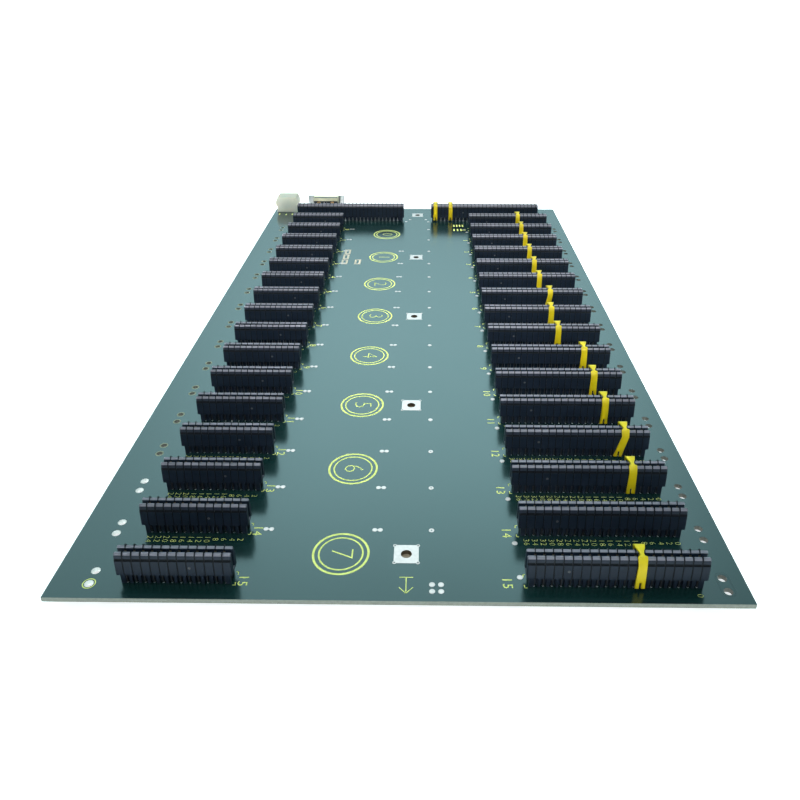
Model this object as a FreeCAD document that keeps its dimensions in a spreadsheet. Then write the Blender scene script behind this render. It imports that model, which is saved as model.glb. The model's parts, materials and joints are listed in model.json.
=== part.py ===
"""Backplane board for a sixteen-slot input and output rack, as a parametric FreeCAD document.

The frame: X across the board, Y along it from the near end to the processor end, Z up.
The origin is on the axis of the middle mounting hole, at the board's underside.
All sizes are in millimetres.
"""
import FreeCAD, Part
import math
import os
import Sketcher

SLOTS = 16
# Contacts on one side of a connector in the right row, in the left row and at the processor slot
RIGHT_CONTACTS = 19
LEFT_CONTACTS = 12
PROCESSOR_CONTACTS = 28
SIGNAL_PINS = 5
MOUNT_HOLES = 5
# Slots from one mounting hole to the next, and from the near slot to the middle mounting hole
MOUNT_STEP = 4
MIDDLE_STEP = 8.5
# The many guide holes are drawn with few sides, to keep the facets down
GUIDE_HOLE_SIDES = 10
# Directions closer than this are taken as parallel
TINY = 1e-6

# Slots whose long connector carries a keying band, with the gap between contacts that it stands in
BAND_GAPS = {0: 12, 1: 12, 2: 12, 3: 12, 4: 12, 5: 12, 6: 13, 7: 12, 8: 12,
             9: 15, 10: 15, 11: 15, 12: 16, 13: 15, 15: 12}
# Bands that were pushed on askew, with the cell that says how far the leg's end lies to the left
BAND_LEANS = {6: "slight_lean", 12: "strong_lean"}
# Gaps of the right processor connector that carry a keying band
PROCESSOR_BAND_GAPS = (1, 5)

SIZES = (
    ("board_thick", 2.4, "board thickness"),
    ("board_corner", 2.0, "radius of the two corners at the processor end"),
    ("near_edge", 12.0, "near slot's row to the board's near edge"),
    ("far_edge", 40.0, "processor slot's row to the board's far edge"),
    ("left_edge", 17.7, "left guide holes to the board's left edge"),
    ("right_edge", 9.6, "right guide holes to the board's right edge"),
    ("mount_hole_r", 2.55, "radius of a mounting hole"),
    ("slot_pitch", 31.75, "between slots"),
    ("guide_hole_r", 2.1, "radius of a card guide's hole"),
    ("guide_pitch", 7.6, "between the two holes of a card guide"),
    ("left_guide_gap", 13.17, "short connectors' ends to the left guide holes"),
    ("right_guide_gap", 9.41, "long connectors' ends to the right guide holes"),
    ("right_guide_drop", 1.0, "right guide pairs lie this much nearer than their slot's row"),
    ("contact_pitch", 3.96, "between contacts"),
    ("long_x", 92.2, "mounting holes to the long connectors' middle"),
    ("short_x", 101.0, "mounting holes to the short connectors' middle"),
    ("processor_x", 70.6, "mounting holes to a processor connector's middle"),
    ("processor_pitch", 30.5, "slot 0 to the processor slot"),
    ("end_margin", 3.75, "last contact to the end of a slot connector"),
    ("processor_end_margin", 2.77, "last contact to the end of a processor connector"),
    ("connector_height", 16.75, "top of a slot connector above the board"),
    ("bevel_height", 13.9, "lower edge of a slot connector's bevel above the board"),
    ("under_height", 5.5, "underside of a slot connector's body above the board"),
    ("processor_height", 17.5, "top of a processor connector above the board"),
    ("processor_bevel", 15.0, "lower edge of a processor connector's bevel above the board"),
    ("processor_under", 4.0, "underside of a processor connector's body above the board"),
    ("slot_floor", 6.6, "floor of the card slot above the board"),
    ("top_half", 3.2, "half the width over the outer edges of the walls' tops"),
    ("top_slope", 1.45, "a wall's top falls this much from its crest to its outer edge"),
    ("bevel_half", 3.9, "half the width over the walls at the bevel's lower edge"),
    ("under_half", 4.2, "half the width over the walls at the body's underside"),
    ("foot_half", 3.3, "half the width of the posts at the ends of the foot"),
    ("foot_post", 2.2, "posts at the ends of the foot, along the connector"),
    ("foot_web_half", 1.7, "half the width of the web between the posts"),
    ("foot_setback", 1.3, "the foot is this much shorter at each end"),
    ("card_half", 0.9, "half the width of the card slot"),
    ("lead_in", 1.3, "from the card slot to the crest of a wall"),
    ("lead_depth", 0.65, "a wall's top falls this much from its crest to the card slot"),
    ("band_thick", 0.9, "keying band's thickness"),
    ("band_leg", 3.8, "width of the band's front leg"),
    ("band_foot", 4.4, "width over the prongs at the end of the leg"),
    ("band_shoulder", 4.3, "width of the band's shoulders on the front wall"),
    ("band_neck", 2.0, "width of the band's neck over the card slot"),
    ("band_head", 5.0, "greatest width of the band's head"),
    ("band_crown", 3.4, "width of the band's head at its top"),
    ("band_leg_height", 1.5, "end of the band's front leg above the board"),
    ("band_crotch", 4.7, "top of the gap between the prongs above the board"),
    ("band_fork", 1.0, "gap between the prongs"),
    ("band_rise", 0.7, "the band's arch stands this much clear of the rear wall"),
    ("band_hook_drop", 2.1, "connector's top down to the end of the band's rear hook"),
    ("band_hook_gap", 0.4, "room between the band's hook and the rear wall"),
    ("key_depth", 4.6, "the band's key reaches this deep into the card slot"),
    ("key_clearance", 0.1, "room between the key and each wall of the card slot"),
    ("slight_lean", 1.8, "leg's end of a band that sits slightly askew"),
    ("strong_lean", 3.2, "leg's end of a band that sits well askew"),
    ("header_edge", 1.8, "board's left edge to the power header's ears"),
    ("header_inset", 13.2, "board's far edge to the power header's rear face"),
    ("header_depth", 17.0, "power header, rear face to mouth"),
    ("header_height", 16.4, "power header, above the board"),
    ("header_body_width", 21.6, "power header's body"),
    ("header_ear_width", 24.4, "power header over its latch ears"),
    ("header_top_width", 20.0, "flat of the power header's top"),
    ("header_ear_low", 7.4, "lower edge of the ears above the board"),
    ("header_ear_high", 11.4, "upper edge of the ears above the board"),
    ("header_wall", 1.6, "walls round the power header's mouth"),
    ("header_cavity", 9.0, "depth of the power header's mouth"),
    ("header_pitch", 6.35, "between power pins, both ways"),
    ("header_low_row", 4.3, "lower row of power pins above the board"),
    ("header_cover", 1.2, "power header's rear wall, over the tails of its pins"),
    ("header_well", 5.4, "well for the tails behind the rear wall, along the board"),
    ("header_well_top", 12.3, "top of the well above the board"),
    ("header_tail", 2.5, "rear face to the tails of the upper row"),
    ("header_tail_step", 2.6, "between the tails of the two rows"),
    ("power_pin", 1.6, "power pin, across"),
    ("power_pin_reach", 5.0, "power pin, out of the mouth's floor"),
    ("data_gap", 10.1, "power header's ears to the data connector's flange"),
    ("data_height", 8.5, "middle of the data connector above the board"),
    ("flange_end", 2.95, "a screw hole to the end of the data connector's flange"),
    ("flange_height", 12.5, "data connector's flange"),
    ("flange_thick", 1.0, "data connector's flange"),
    ("flange_gap", 0.3, "board edge to the data connector's flange"),
    ("screw_gap", 3.15, "side of the rear shell to a screw hole of the flange"),
    ("flange_hole_r", 1.55, "radius of the data connector's screw holes"),
    ("shell_width", 24.8, "data connector's shell, wide side"),
    ("shell_height", 8.3, "data connector's shell"),
    ("shell_wall", 0.7, "data connector's shell"),
    ("shell_reach", 6.0, "data connector's shell, out of its flange"),
    ("shell_lean", 1.5, "the shell's narrow side is this much shorter at each end"),
    ("shell_corner", 1.6, "cut at the corners of the shell"),
    ("rear_width", 27.0, "rear shell, over its sides"),
    ("rear_depth", 4.2, "rear shell, behind the flange"),
    ("rear_wall", 0.8, "rear shell's wall"),
    ("insulator_depth", 9.0, "insulator, behind the flange"),
    ("power_contact_pitch", 14.8, "between the data connector's power contacts"),
    ("power_contact_r", 2.2, "radius of a power contact"),
    ("power_contact_reach", 3.0, "power contact, behind the insulator"),
    ("power_contact_tail", 2.0, "tail of a power contact, across"),
    ("power_contact_inset", 0.5, "end of a power contact to its tail"),
    ("signal_pin", 0.6, "signal pin of the data connector, across"),
    ("signal_pitch", 2.77, "between signal pins of one row"),
    ("signal_row", 2.84, "between the two rows of signal pins"),
    ("signal_tail", 1.4, "insulator to the tails of the lower signal row"),
    ("bracket_gap", 1.1, "side of the rear shell to a foot bracket"),
    ("bracket_depth", 8.0, "foot bracket, along the board"),
    ("bracket_thick", 1.0, "foot bracket's sheet"),
)

doc = FreeCAD.newDocument("backplane_board")
sheet = doc.addObject("Spreadsheet::Sheet", "Sizes")
for row, (alias, value, meaning) in enumerate(SIZES, start=1):
    sheet.set(f"A{row}", meaning)
    sheet.set(f"B{row}", str(value))
    sheet.setAlias(f"B{row}", alias)
doc.recompute()

pieces = []


def cell(formula):
    """A formula of cell names, with each name written as the sheet's own."""
    words = formula.replace("(", " ( ").replace(")", " ) ").split()
    names = {alias for alias, _, _ in SIZES}
    return " ".join("Sizes." + word if word in names else word for word in words)


def place(piece, label, x="0", y="0", z="0"):
    """Name a piece, put it in its place and keep it for the export."""
    piece.Label = label
    for axis, formula in zip("xyz", (x, y, z)):
        piece.setExpression(f"Placement.Base.{axis}", cell(formula))
    pieces.append(piece)


def new_body(name):
    return doc.addObject("PartDesign::Body", name)


def origin_plane(body, role):
    return next(feature for feature in body.Origin.OriginFeatures if feature.Role == role)


def new_sketch(body, role, name, height="0"):
    """An empty sketch on one of the body's own planes, lifted along the plane's normal."""
    sketch = body.newObject("Sketcher::SketchObject", name)
    sketch.AttachmentSupport = [(origin_plane(body, role), "")]
    sketch.MapMode = "FlatFace"
    sketch.setExpression("AttachmentOffset.Base.z", cell(height))
    return sketch


def hold_points(sketch, points):
    """Fix points by formulas from the sketch's origin. Each is an edge, its point number, x and y."""
    rules = []
    formulas = []
    for edge, number, x, y in points:
        rules.append(Sketcher.Constraint("DistanceX", -1, 1, edge, number, 1.0))
        rules.append(Sketcher.Constraint("DistanceY", -1, 1, edge, number, 1.0))
        formulas += [x, y]
    first = sketch.ConstraintCount
    sketch.addConstraint(rules)
    for index, formula in enumerate(formulas, start=first):
        sketch.setExpression(f"Constraints[{index}]", cell(formula))


def add_outline(sketch, corners):
    """A closed outline of straight edges. Each corner is a pair of formulas."""
    count = len(corners)
    first = sketch.GeometryCount
    ring = [FreeCAD.Vector(math.cos(2 * math.pi * i / count), math.sin(2 * math.pi * i / count), 0)
            for i in range(count)]
    sketch.addGeometry([Part.LineSegment(ring[i - 1], ring[i]) for i in range(count)], False)
    sketch.addConstraint([Sketcher.Constraint("Coincident", first + i - 1, 2, first + i, 1)
                          for i in range(1, count)])
    sketch.addConstraint(Sketcher.Constraint("Coincident", first + count - 1, 2, first, 1))
    hold_points(sketch, [(first + i, 1, x, y) for i, (x, y) in enumerate(corners)])


def add_circle(sketch, x, y, radius):
    circle = Part.Circle(FreeCAD.Vector(1, 1, 0), FreeCAD.Vector(0, 0, 1), 1)
    edge = sketch.addGeometry(circle, False)
    hold_points(sketch, [(edge, 3, x, y)])
    index = sketch.addConstraint(Sketcher.Constraint("Radius", edge, 1.0))
    sketch.setExpression(f"Constraints[{index}]", cell(radius))


def add_round(sketch, x, y, radius):
    """A round hole drawn with few sides."""
    corners = []
    for i in range(GUIDE_HOLE_SIDES):
        angle = 2 * math.pi * i / GUIDE_HOLE_SIDES
        across = f"{x} + {radius} * {math.cos(angle):.6f}"
        along = f"{y} + {radius} * {math.sin(angle):.6f}"
        corners.append((across, along))
    add_outline(sketch, corners)


def mirrored(half):
    """The corners of half an outline, followed by the same corners across the sketch's upright axis."""
    return half + [(f"0 - ( {x} )", y) for x, y in reversed(half)]


def add_pad(body, sketch, name, length, side="One side", turned=False):
    pad = body.newObject("PartDesign::Pad", name)
    pad.Profile = sketch
    pad.SideType = side
    pad.Reversed = turned
    pad.setExpression("Length", cell(length))
    return pad


def add_pocket(body, sketch, name, length=None, side="One side", turned=False):
    """A pocket of the given depth, or through everything when no depth is given."""
    pocket = body.newObject("PartDesign::Pocket", name)
    pocket.Profile = sketch
    pocket.SideType = side
    pocket.Reversed = turned
    if length is None:
        pocket.Type = "ThroughAll"
    else:
        pocket.Type = "Length"
        pocket.setExpression("Length", cell(length))
    return pocket


def add_row(body, feature, name, count, pitch):
    """Repeat a feature along the board."""
    row = body.newObject("PartDesign::LinearPattern", name)
    row.Originals = [feature]
    row.Direction = (origin_plane(body, "Y_Axis"), [""])
    row.Occurrences = count
    row.setExpression("Length", cell(f"{pitch} * {count - 1}"))
    body.Tip = row
    return row


def slot_y(slot):
    """The row of a slot, as a formula."""
    return f"( {SLOTS - 1 - slot} - {MIDDLE_STEP} ) * slot_pitch"


def connector_length(contacts, margin):
    return f"( {contacts - 1} * contact_pitch + 2 * {margin} )"


# Top, bevel and underside of the two kinds of connector
SLOT_LEVELS = ("connector_height", "bevel_height", "under_height")
PROCESSOR_LEVELS = ("processor_height", "processor_bevel", "processor_under")


# Half the data connector's flange, and its brackets' width
SCREW_X = "( rear_width / 2 + screw_gap )"
FLANGE_HALF = f"( {SCREW_X} + flange_end )"
BRACKET_WIDTH = "( screw_gap + flange_end - bracket_gap )"

# Places that several pieces share, as formulas: rows, the board's edges and the two sockets at its far end
NEAR_Y = slot_y(SLOTS - 1)
PROCESSOR_Y = f"{slot_y(0)} + processor_pitch"
LEFT_GUIDE_X = f"0 - short_x - {connector_length(LEFT_CONTACTS, 'end_margin')} / 2 - left_guide_gap"
RIGHT_GUIDE_X = f"long_x + {connector_length(RIGHT_CONTACTS, 'end_margin')} / 2 + right_guide_gap"
BOARD_LEFT = f"{LEFT_GUIDE_X} - left_edge"
BOARD_RIGHT = f"{RIGHT_GUIDE_X} + right_edge"
BOARD_NEAR = f"{NEAR_Y} - near_edge"
BOARD_FAR = f"{PROCESSOR_Y} + far_edge"
HEADER_X = f"{BOARD_LEFT} + header_edge + header_ear_width / 2"
HEADER_Y = f"{BOARD_FAR} - header_inset"
DATA_X = f"{HEADER_X} + header_ear_width / 2 + data_gap + {FLANGE_HALF}"
DATA_Y = f"{BOARD_FAR} + flange_gap"
DATA_Z = "board_thick + data_height"


def make_board():
    body = new_body("Board")
    blank = new_sketch(body, "XY_Plane", "BoardBlank")
    add_outline(blank, [
        (BOARD_LEFT, BOARD_NEAR),
        (BOARD_RIGHT, BOARD_NEAR),
        (BOARD_RIGHT, BOARD_FAR),
        (BOARD_LEFT, BOARD_FAR),
    ])
    pad = add_pad(body, blank, "BoardPad", "board_thick")
    doc.recompute()
    up = FreeCAD.Vector(0, 0, 1)
    corners = [f"Edge{i}" for i, edge in enumerate(pad.Shape.Edges, start=1)
               if edge.tangentAt(edge.FirstParameter).cross(up).Length < TINY and edge.CenterOfMass.y > 0]
    rounding = body.newObject("PartDesign::Fillet", "BoardCorners")
    rounding.Base = (pad, corners)
    rounding.setExpression("Radius", cell("board_corner"))
    middle = new_sketch(body, "XY_Plane", "MountHole")
    add_circle(middle, "0", f"0 - {MOUNT_HOLES // 2 * MOUNT_STEP} * slot_pitch", "mount_hole_r")
    hole = add_pocket(body, middle, "MountHoleCut", turned=True)
    add_row(body, hole, "MountHoles", MOUNT_HOLES, f"{MOUNT_STEP} * slot_pitch")
    guides = new_sketch(body, "XY_Plane", "GuideHoles")
    for side in ("-", "+"):
        left_y = f"{NEAR_Y} {side} guide_pitch / 2"
        add_round(guides, LEFT_GUIDE_X, left_y, "guide_hole_r")
        add_round(guides, RIGHT_GUIDE_X, f"{left_y} - right_guide_drop", "guide_hole_r")
    cut = add_pocket(body, guides, "GuideHoleCut", turned=True)
    add_row(body, cut, "GuideHoleRows", SLOTS, "slot_pitch")
    place(body, "board")


def make_connector(label, contacts, margin, x, y, levels):
    """A card-edge connector: two walls with crested tops beside an open card slot, on a narrower foot."""
    top, bevel, under = levels
    body = new_body(label)
    length = connector_length(contacts, margin)
    section = new_sketch(body, "YZ_Plane", label + "_section")
    add_outline(section, mirrored([
        ("0 - under_half", under),
        ("0 - bevel_half", bevel),
        ("0 - top_half", f"{top} - top_slope"),
        ("0 - card_half - lead_in", top),
        ("0 - card_half", f"{top} - lead_depth"),
        ("0 - card_half", "slot_floor"),
    ]))
    add_pad(body, section, label + "_walls", length, side="Symmetric")
    web = new_sketch(body, "YZ_Plane", label + "_web")
    add_outline(web, mirrored([("0 - foot_web_half", under), ("0 - foot_web_half", "0")]))
    add_pad(body, web, label + "_web_pad", f"{length} - 2 * foot_setback", side="Symmetric")
    posts = new_sketch(body, "XY_Plane", label + "_posts")
    foot_end = f"{length} / 2 - foot_setback"
    for side in ("-", "+"):
        outer = f"0 {side} ( {foot_end} )"
        inner = f"0 {side} ( {foot_end} - foot_post )"
        add_outline(posts, [
            (outer, "0 - foot_half"),
            (inner, "0 - foot_half"),
            (inner, "foot_half"),
            (outer, "foot_half"),
        ])
    add_pad(body, posts, label + "_posts_pad", under)
    place(body, label, x, y, "board_thick")


def wall_half(height, bevel, under):
    """Half the width over a connector's walls at a height below its bevel, as a formula."""
    slope = f"( under_half - bevel_half ) / ( {bevel} - {under} )"
    return f"bevel_half + ( {bevel} - {height} ) * {slope}"


def band_side(label, levels):
    """The keying band from the side: a strap up the front wall, over the slot and behind the rear wall."""
    top, bevel, under = levels
    body = new_body(label + "_side")
    strap = new_sketch(body, "YZ_Plane", label + "_strap")
    leg = wall_half("band_leg_height", bevel, under)
    key = "card_half - key_clearance"
    key_end = f"{top} - key_depth"
    arch = f"{top} + band_rise"
    hook = "bevel_half + band_hook_gap"
    hook_end = f"{top} - band_hook_drop"
    add_outline(strap, [
        (f"0 - ( {leg} )", "band_leg_height"),
        ("0 - bevel_half", bevel),
        ("0 - top_half", f"{top} - top_slope"),
        ("0 - card_half - lead_in", top),
        (f"0 - ( {key} )", top),
        (f"0 - ( {key} )", key_end),
        (key, key_end),
        (key, f"{top} + band_rise / 2"),
        ("top_half", arch),
        (hook, f"{arch} - band_hook_gap"),
        (hook, hook_end),
        (f"{hook} + band_thick", hook_end),
        (f"{hook} + band_thick", arch),
        ("top_half + band_thick / 2", f"{arch} + band_thick"),
        (key, f"{top} + band_rise / 2 + band_thick"),
        ("0 - card_half - lead_in", f"{top} + band_thick"),
        ("0 - top_half - band_thick / 2", f"{top} - top_slope + band_thick"),
        ("0 - bevel_half - band_thick", bevel),
        (f"0 - ( {leg} ) - band_thick", "band_leg_height"),
    ])
    add_pad(body, strap, label + "_strap_pad", "band_head + 2 * strong_lean", side="Symmetric")
    return body


def band_front(label, levels, lean):
    """The keying band from the front: two prongs, a leg, shoulders, a narrow neck and a head."""
    top, bevel, _ = levels
    body = new_body(label + "_front")
    outline = new_sketch(body, "XZ_Plane", label + "_outline")
    ledge = f"{top} - top_slope"
    brow = f"{top} + band_rise"
    crown = f"{brow} + band_thick"
    half = [
        ("band_fork / 2", f"{lean}", "band_crotch"),
        ("band_fork / 2", f"{lean}", "band_leg_height"),
        ("band_foot / 2", f"{lean}", "band_leg_height"),
        ("band_leg / 2", "0", bevel),
        ("band_shoulder / 2", "0", ledge),
        ("band_neck / 2", "0", f"{ledge} + band_thick"),
        ("band_neck / 2", "0", f"{top} + band_rise / 2"),
        ("band_head / 2", "0", brow),
        ("band_crown / 2", "0", crown),
    ]
    left = [(f"0 - {x} - {shift}", z) for x, shift, z in half]
    right = [(f"{x} - {shift}", z) for x, shift, z in reversed(half)]
    add_outline(outline, left + right)
    reach = "under_half + band_hook_gap + 2 * band_thick"
    add_pad(body, outline, label + "_outline_pad", f"2 * ( {reach} )", side="Symmetric")
    return body


def make_band(label, contacts, x, y, gap, levels, lean="0"):
    """A keying band: it straddles both walls of a connector, and its key stands in the card slot."""
    band = doc.addObject("Part::Common", label)
    band.Base = band_side(label, levels)
    band.Tool = band_front(label, levels, lean)
    step = f"( {gap} - {contacts} / 2 ) * contact_pitch"
    place(band, label, f"{x} + {step}", y, "board_thick")


def make_power_header():
    """A right-angle power header: a nylon housing with a mouth, and a well below for its pins' tails."""
    body = new_body("power_header")
    face = new_sketch(body, "XZ_Plane", "header_face")
    add_outline(face, mirrored([
        ("0 - header_body_width / 2", "0"),
        ("0 - header_body_width / 2", "header_ear_low - ( header_ear_width - header_body_width ) / 2"),
        ("0 - header_ear_width / 2", "header_ear_low"),
        ("0 - header_ear_width / 2", "header_ear_high"),
        ("0 - header_top_width / 2", "header_height"),
    ]))
    add_pad(body, face, "header_block", "header_depth", turned=True)
    mouth = new_sketch(body, "XZ_Plane", "header_mouth", "0 - header_depth")
    add_outline(mouth, mirrored([
        ("0 - header_body_width / 2 + header_wall", "header_wall"),
        ("0 - header_body_width / 2 + header_wall", "header_ear_high"),
        ("0 - header_top_width / 2 + header_wall", "header_height - header_wall"),
    ]))
    add_pocket(body, mouth, "header_mouth_cut", "header_cavity", turned=True)
    well = new_sketch(body, "XY_Plane", "header_tail_well")
    add_outline(well, mirrored([
        ("0 - header_body_width / 2 + header_wall", "header_cover"),
        ("0 - header_body_width / 2 + header_wall", "header_cover + header_well"),
    ]))
    add_pocket(body, well, "header_well_cut", "header_well_top", turned=True)
    seats = new_sketch(body, "XZ_Plane", "header_seats", "0 - header_cover - header_well")
    for column in (-1, 0, 1):
        for row in (0, 1):
            x = f"{column} * header_pitch"
            z = f"header_low_row + {row} * header_pitch"
            add_outline(seats, [
                (f"{x} - power_pin / 2", f"{z} - power_pin / 2"),
                (f"{x} + power_pin / 2", f"{z} - power_pin / 2"),
                (f"{x} + power_pin / 2", f"{z} + power_pin / 2"),
                (f"{x} - power_pin / 2", f"{z} + power_pin / 2"),
            ])
    to_mouth = "header_depth - header_cover - header_well"
    add_pocket(body, seats, "header_seat_cut", f"{to_mouth} - header_cavity / 2")
    place(body, "power_header", HEADER_X, HEADER_Y, "board_thick")


def make_power_pins():
    """Six bent power pins, as one group: out of the mouth's floor, and down the well to the board."""
    pins = []
    for row in (0, 1):
        for column in (-1, 0, 1):
            body = new_body(f"power_pin_{row}{column + 1}")
            side = new_sketch(body, "YZ_Plane", f"pin_side_{row}{column + 1}")
            tail = f"header_tail + {1 - row} * header_tail_step"
            tip = "header_depth - header_cavity + power_pin_reach"
            axis = f"header_low_row + {row} * header_pitch"
            add_outline(side, [
                (f"{tail} - power_pin / 2", "0"),
                (f"{tail} + power_pin / 2", "0"),
                (f"{tail} + power_pin / 2", f"{axis} - power_pin / 2"),
                (tip, f"{axis} - power_pin / 2"),
                (tip, f"{axis} + power_pin / 2"),
                (f"{tail} - power_pin / 2", f"{axis} + power_pin / 2"),
            ])
            add_pad(body, side, f"pin_pad_{row}{column + 1}", "power_pin", side="Symmetric")
            body.setExpression("Placement.Base.x", cell(f"{column} * header_pitch"))
            pins.append(body)
    group = doc.addObject("Part::Compound", "power_pins")
    group.Links = pins
    place(group, "power_pins", HEADER_X, HEADER_Y, "board_thick")


def shell_outline(inset):
    """Half of the data connector's D shape with cut corners, wide side up, drawn in by the inset."""
    wide = f"0 - shell_width / 2 + {inset}"
    narrow = f"{wide} + shell_lean"
    low = f"0 - shell_height / 2 + {inset}"
    high = f"shell_height / 2 - {inset}"
    return [
        (f"{narrow} + shell_corner", low),
        (narrow, f"{low} + shell_corner"),
        (wide, f"{high} - shell_corner"),
        (f"{wide} + shell_corner", high),
    ]


def rear_outline(inset):
    """Half of the data connector's box behind its flange, drawn in by the inset."""
    return [
        (f"0 - rear_width / 2 + {inset}", f"0 - flange_height / 2 + {inset}"),
        (f"0 - rear_width / 2 + {inset}", f"flange_height / 2 - {inset}"),
    ]


def make_data_shell():
    """The data connector's front: a flange with two screw holes, drawn out into a D-shaped shell."""
    shell = new_body("data_shell")
    flange = new_sketch(shell, "XZ_Plane", "data_flange")
    add_outline(flange, mirrored([
        (f"0 - {FLANGE_HALF}", "0 - flange_height / 2"),
        (f"0 - {FLANGE_HALF}", "flange_height / 2"),
    ]))
    add_pad(shell, flange, "data_flange_pad", "flange_thick", turned=True)
    tube = new_sketch(shell, "XZ_Plane", "data_tube")
    add_outline(tube, mirrored(shell_outline("0")))
    add_pad(shell, tube, "data_tube_pad", "flange_thick + shell_reach", turned=True)
    bore = new_sketch(shell, "XZ_Plane", "data_bore")
    add_outline(bore, mirrored(shell_outline("shell_wall")))
    add_pocket(shell, bore, "data_bore_cut")
    screws = new_sketch(shell, "XZ_Plane", "data_screw_holes")
    for side in ("-", "+"):
        add_circle(screws, f"0 {side} {SCREW_X}", "0", "flange_hole_r")
    add_pocket(shell, screws, "data_screw_cut")
    place(shell, "data_shell", DATA_X, DATA_Y, DATA_Z)


def make_data_insulator():
    """The block that holds the data connector's contacts, in the shell and behind the flange."""
    insulator = new_body("data_insulator")
    block = new_sketch(insulator, "XZ_Plane", "data_block")
    add_outline(block, mirrored(shell_outline("shell_wall")))
    add_pad(insulator, block, "data_block_pad", "flange_thick + shell_reach", turned=True)
    rear = new_sketch(insulator, "XZ_Plane", "data_rear_block")
    add_outline(rear, mirrored(rear_outline("rear_wall")))
    add_pad(insulator, rear, "data_rear_pad", "insulator_depth")
    place(insulator, "data_insulator", DATA_X, DATA_Y, DATA_Z)


def make_data_rear_shell():
    """The band of sheet metal round the insulator, behind the flange."""
    shell = new_body("data_rear_shell")
    band = new_sketch(shell, "XZ_Plane", "data_rear_band")
    add_outline(band, mirrored(rear_outline("0")))
    add_outline(band, mirrored(rear_outline("rear_wall")))
    add_pad(shell, band, "data_rear_band_pad", "rear_depth")
    place(shell, "data_rear_shell", DATA_X, DATA_Y, DATA_Z)


def make_power_contact(side):
    """One round power contact of the data connector, with its tail down to the board."""
    barrel = doc.addObject("Part::Cylinder", "power_contact_barrel")
    barrel.setExpression("Radius", cell("power_contact_r"))
    barrel.setExpression("Height", cell("power_contact_reach"))
    barrel.Placement.Rotation = FreeCAD.Rotation(FreeCAD.Vector(1, 0, 0), 90)
    barrel.setExpression("Placement.Base.y", cell("0 - insulator_depth"))
    tail = doc.addObject("Part::Box", "power_contact_tail")
    tail.setExpression("Length", cell("power_contact_tail"))
    tail.setExpression("Width", cell("power_contact_tail"))
    tail.setExpression("Height", cell("data_height"))
    rear_end = "0 - insulator_depth - power_contact_reach"
    tail.setExpression("Placement.Base.x", cell("0 - power_contact_tail / 2"))
    tail.setExpression("Placement.Base.y", cell(f"{rear_end} + power_contact_inset"))
    tail.setExpression("Placement.Base.z", cell("0 - data_height"))
    contact = doc.addObject("Part::Fuse", "power_contact")
    contact.Base = barrel
    contact.Tool = tail
    contact.setExpression("Placement.Base.x", cell(f"0 {side} power_contact_pitch / 2"))
    return contact


def make_signal_pin(column):
    """One bent signal pin of the data connector. Odd columns are in the upper row."""
    upper = column % 2
    name = f"signal_pin_{column}"
    body = new_body(name)
    side = new_sketch(body, "YZ_Plane", name + "_side")
    rear = "0 - insulator_depth"
    back = f"{rear} - signal_tail - {upper} * signal_row"
    level = f"{2 * upper - 1} * signal_row / 2"
    floor = "0 - data_height"
    add_outline(side, [
        (f"{back} - signal_pin", floor),
        (back, floor),
        (back, f"{level} - signal_pin / 2"),
        (rear, f"{level} - signal_pin / 2"),
        (rear, f"{level} + signal_pin / 2"),
        (f"{back} - signal_pin", f"{level} + signal_pin / 2"),
    ])
    add_pad(body, side, name + "_pad", "signal_pin", side="Symmetric")
    step = column - SIGNAL_PINS // 2
    body.setExpression("Placement.Base.x", cell(f"{step} * signal_pitch / 2"))
    return body


def make_data_foot(name, side):
    """One angle of sheet metal that holds the flange to the board."""
    foot = new_body(f"data_foot_{name}")
    angle = new_sketch(foot, "YZ_Plane", f"data_foot_{name}_side")
    floor = "0 - data_height"
    rear = "0 - flange_gap - bracket_depth"
    add_outline(angle, [
        (rear, floor),
        ("0 - flange_gap", floor),
        ("0 - flange_gap", f"{floor} + bracket_thick"),
        ("0", f"{floor} + bracket_thick"),
        ("0", "flange_height / 2"),
        ("0 - bracket_thick", "flange_height / 2"),
        ("0 - bracket_thick", f"{floor} + 2 * bracket_thick"),
        (rear, f"{floor} + 2 * bracket_thick"),
    ])
    add_pad(foot, angle, f"data_foot_{name}_pad", BRACKET_WIDTH, side="Symmetric")
    middle = f"{FLANGE_HALF} - {BRACKET_WIDTH} / 2"
    foot.setExpression("Placement.Base.x", cell(f"0 {side} ( {middle} )"))
    return foot


def make_data_group(label, members):
    """Like pieces of the data connector, kept together as one group."""
    group = doc.addObject("Part::Compound", label)
    group.Links = members
    place(group, label, DATA_X, DATA_Y, DATA_Z)


def make_data_connector():
    """A right-angle data connector at the board's far edge."""
    make_data_shell()
    make_data_insulator()
    make_data_rear_shell()
    make_data_group("data_power_contacts", [make_power_contact(side) for side in ("-", "+")])
    make_data_group("data_signal_pins", [make_signal_pin(column) for column in range(SIGNAL_PINS)])
    make_data_group("data_feet", [make_data_foot("left", "-"), make_data_foot("right", "+")])


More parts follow.
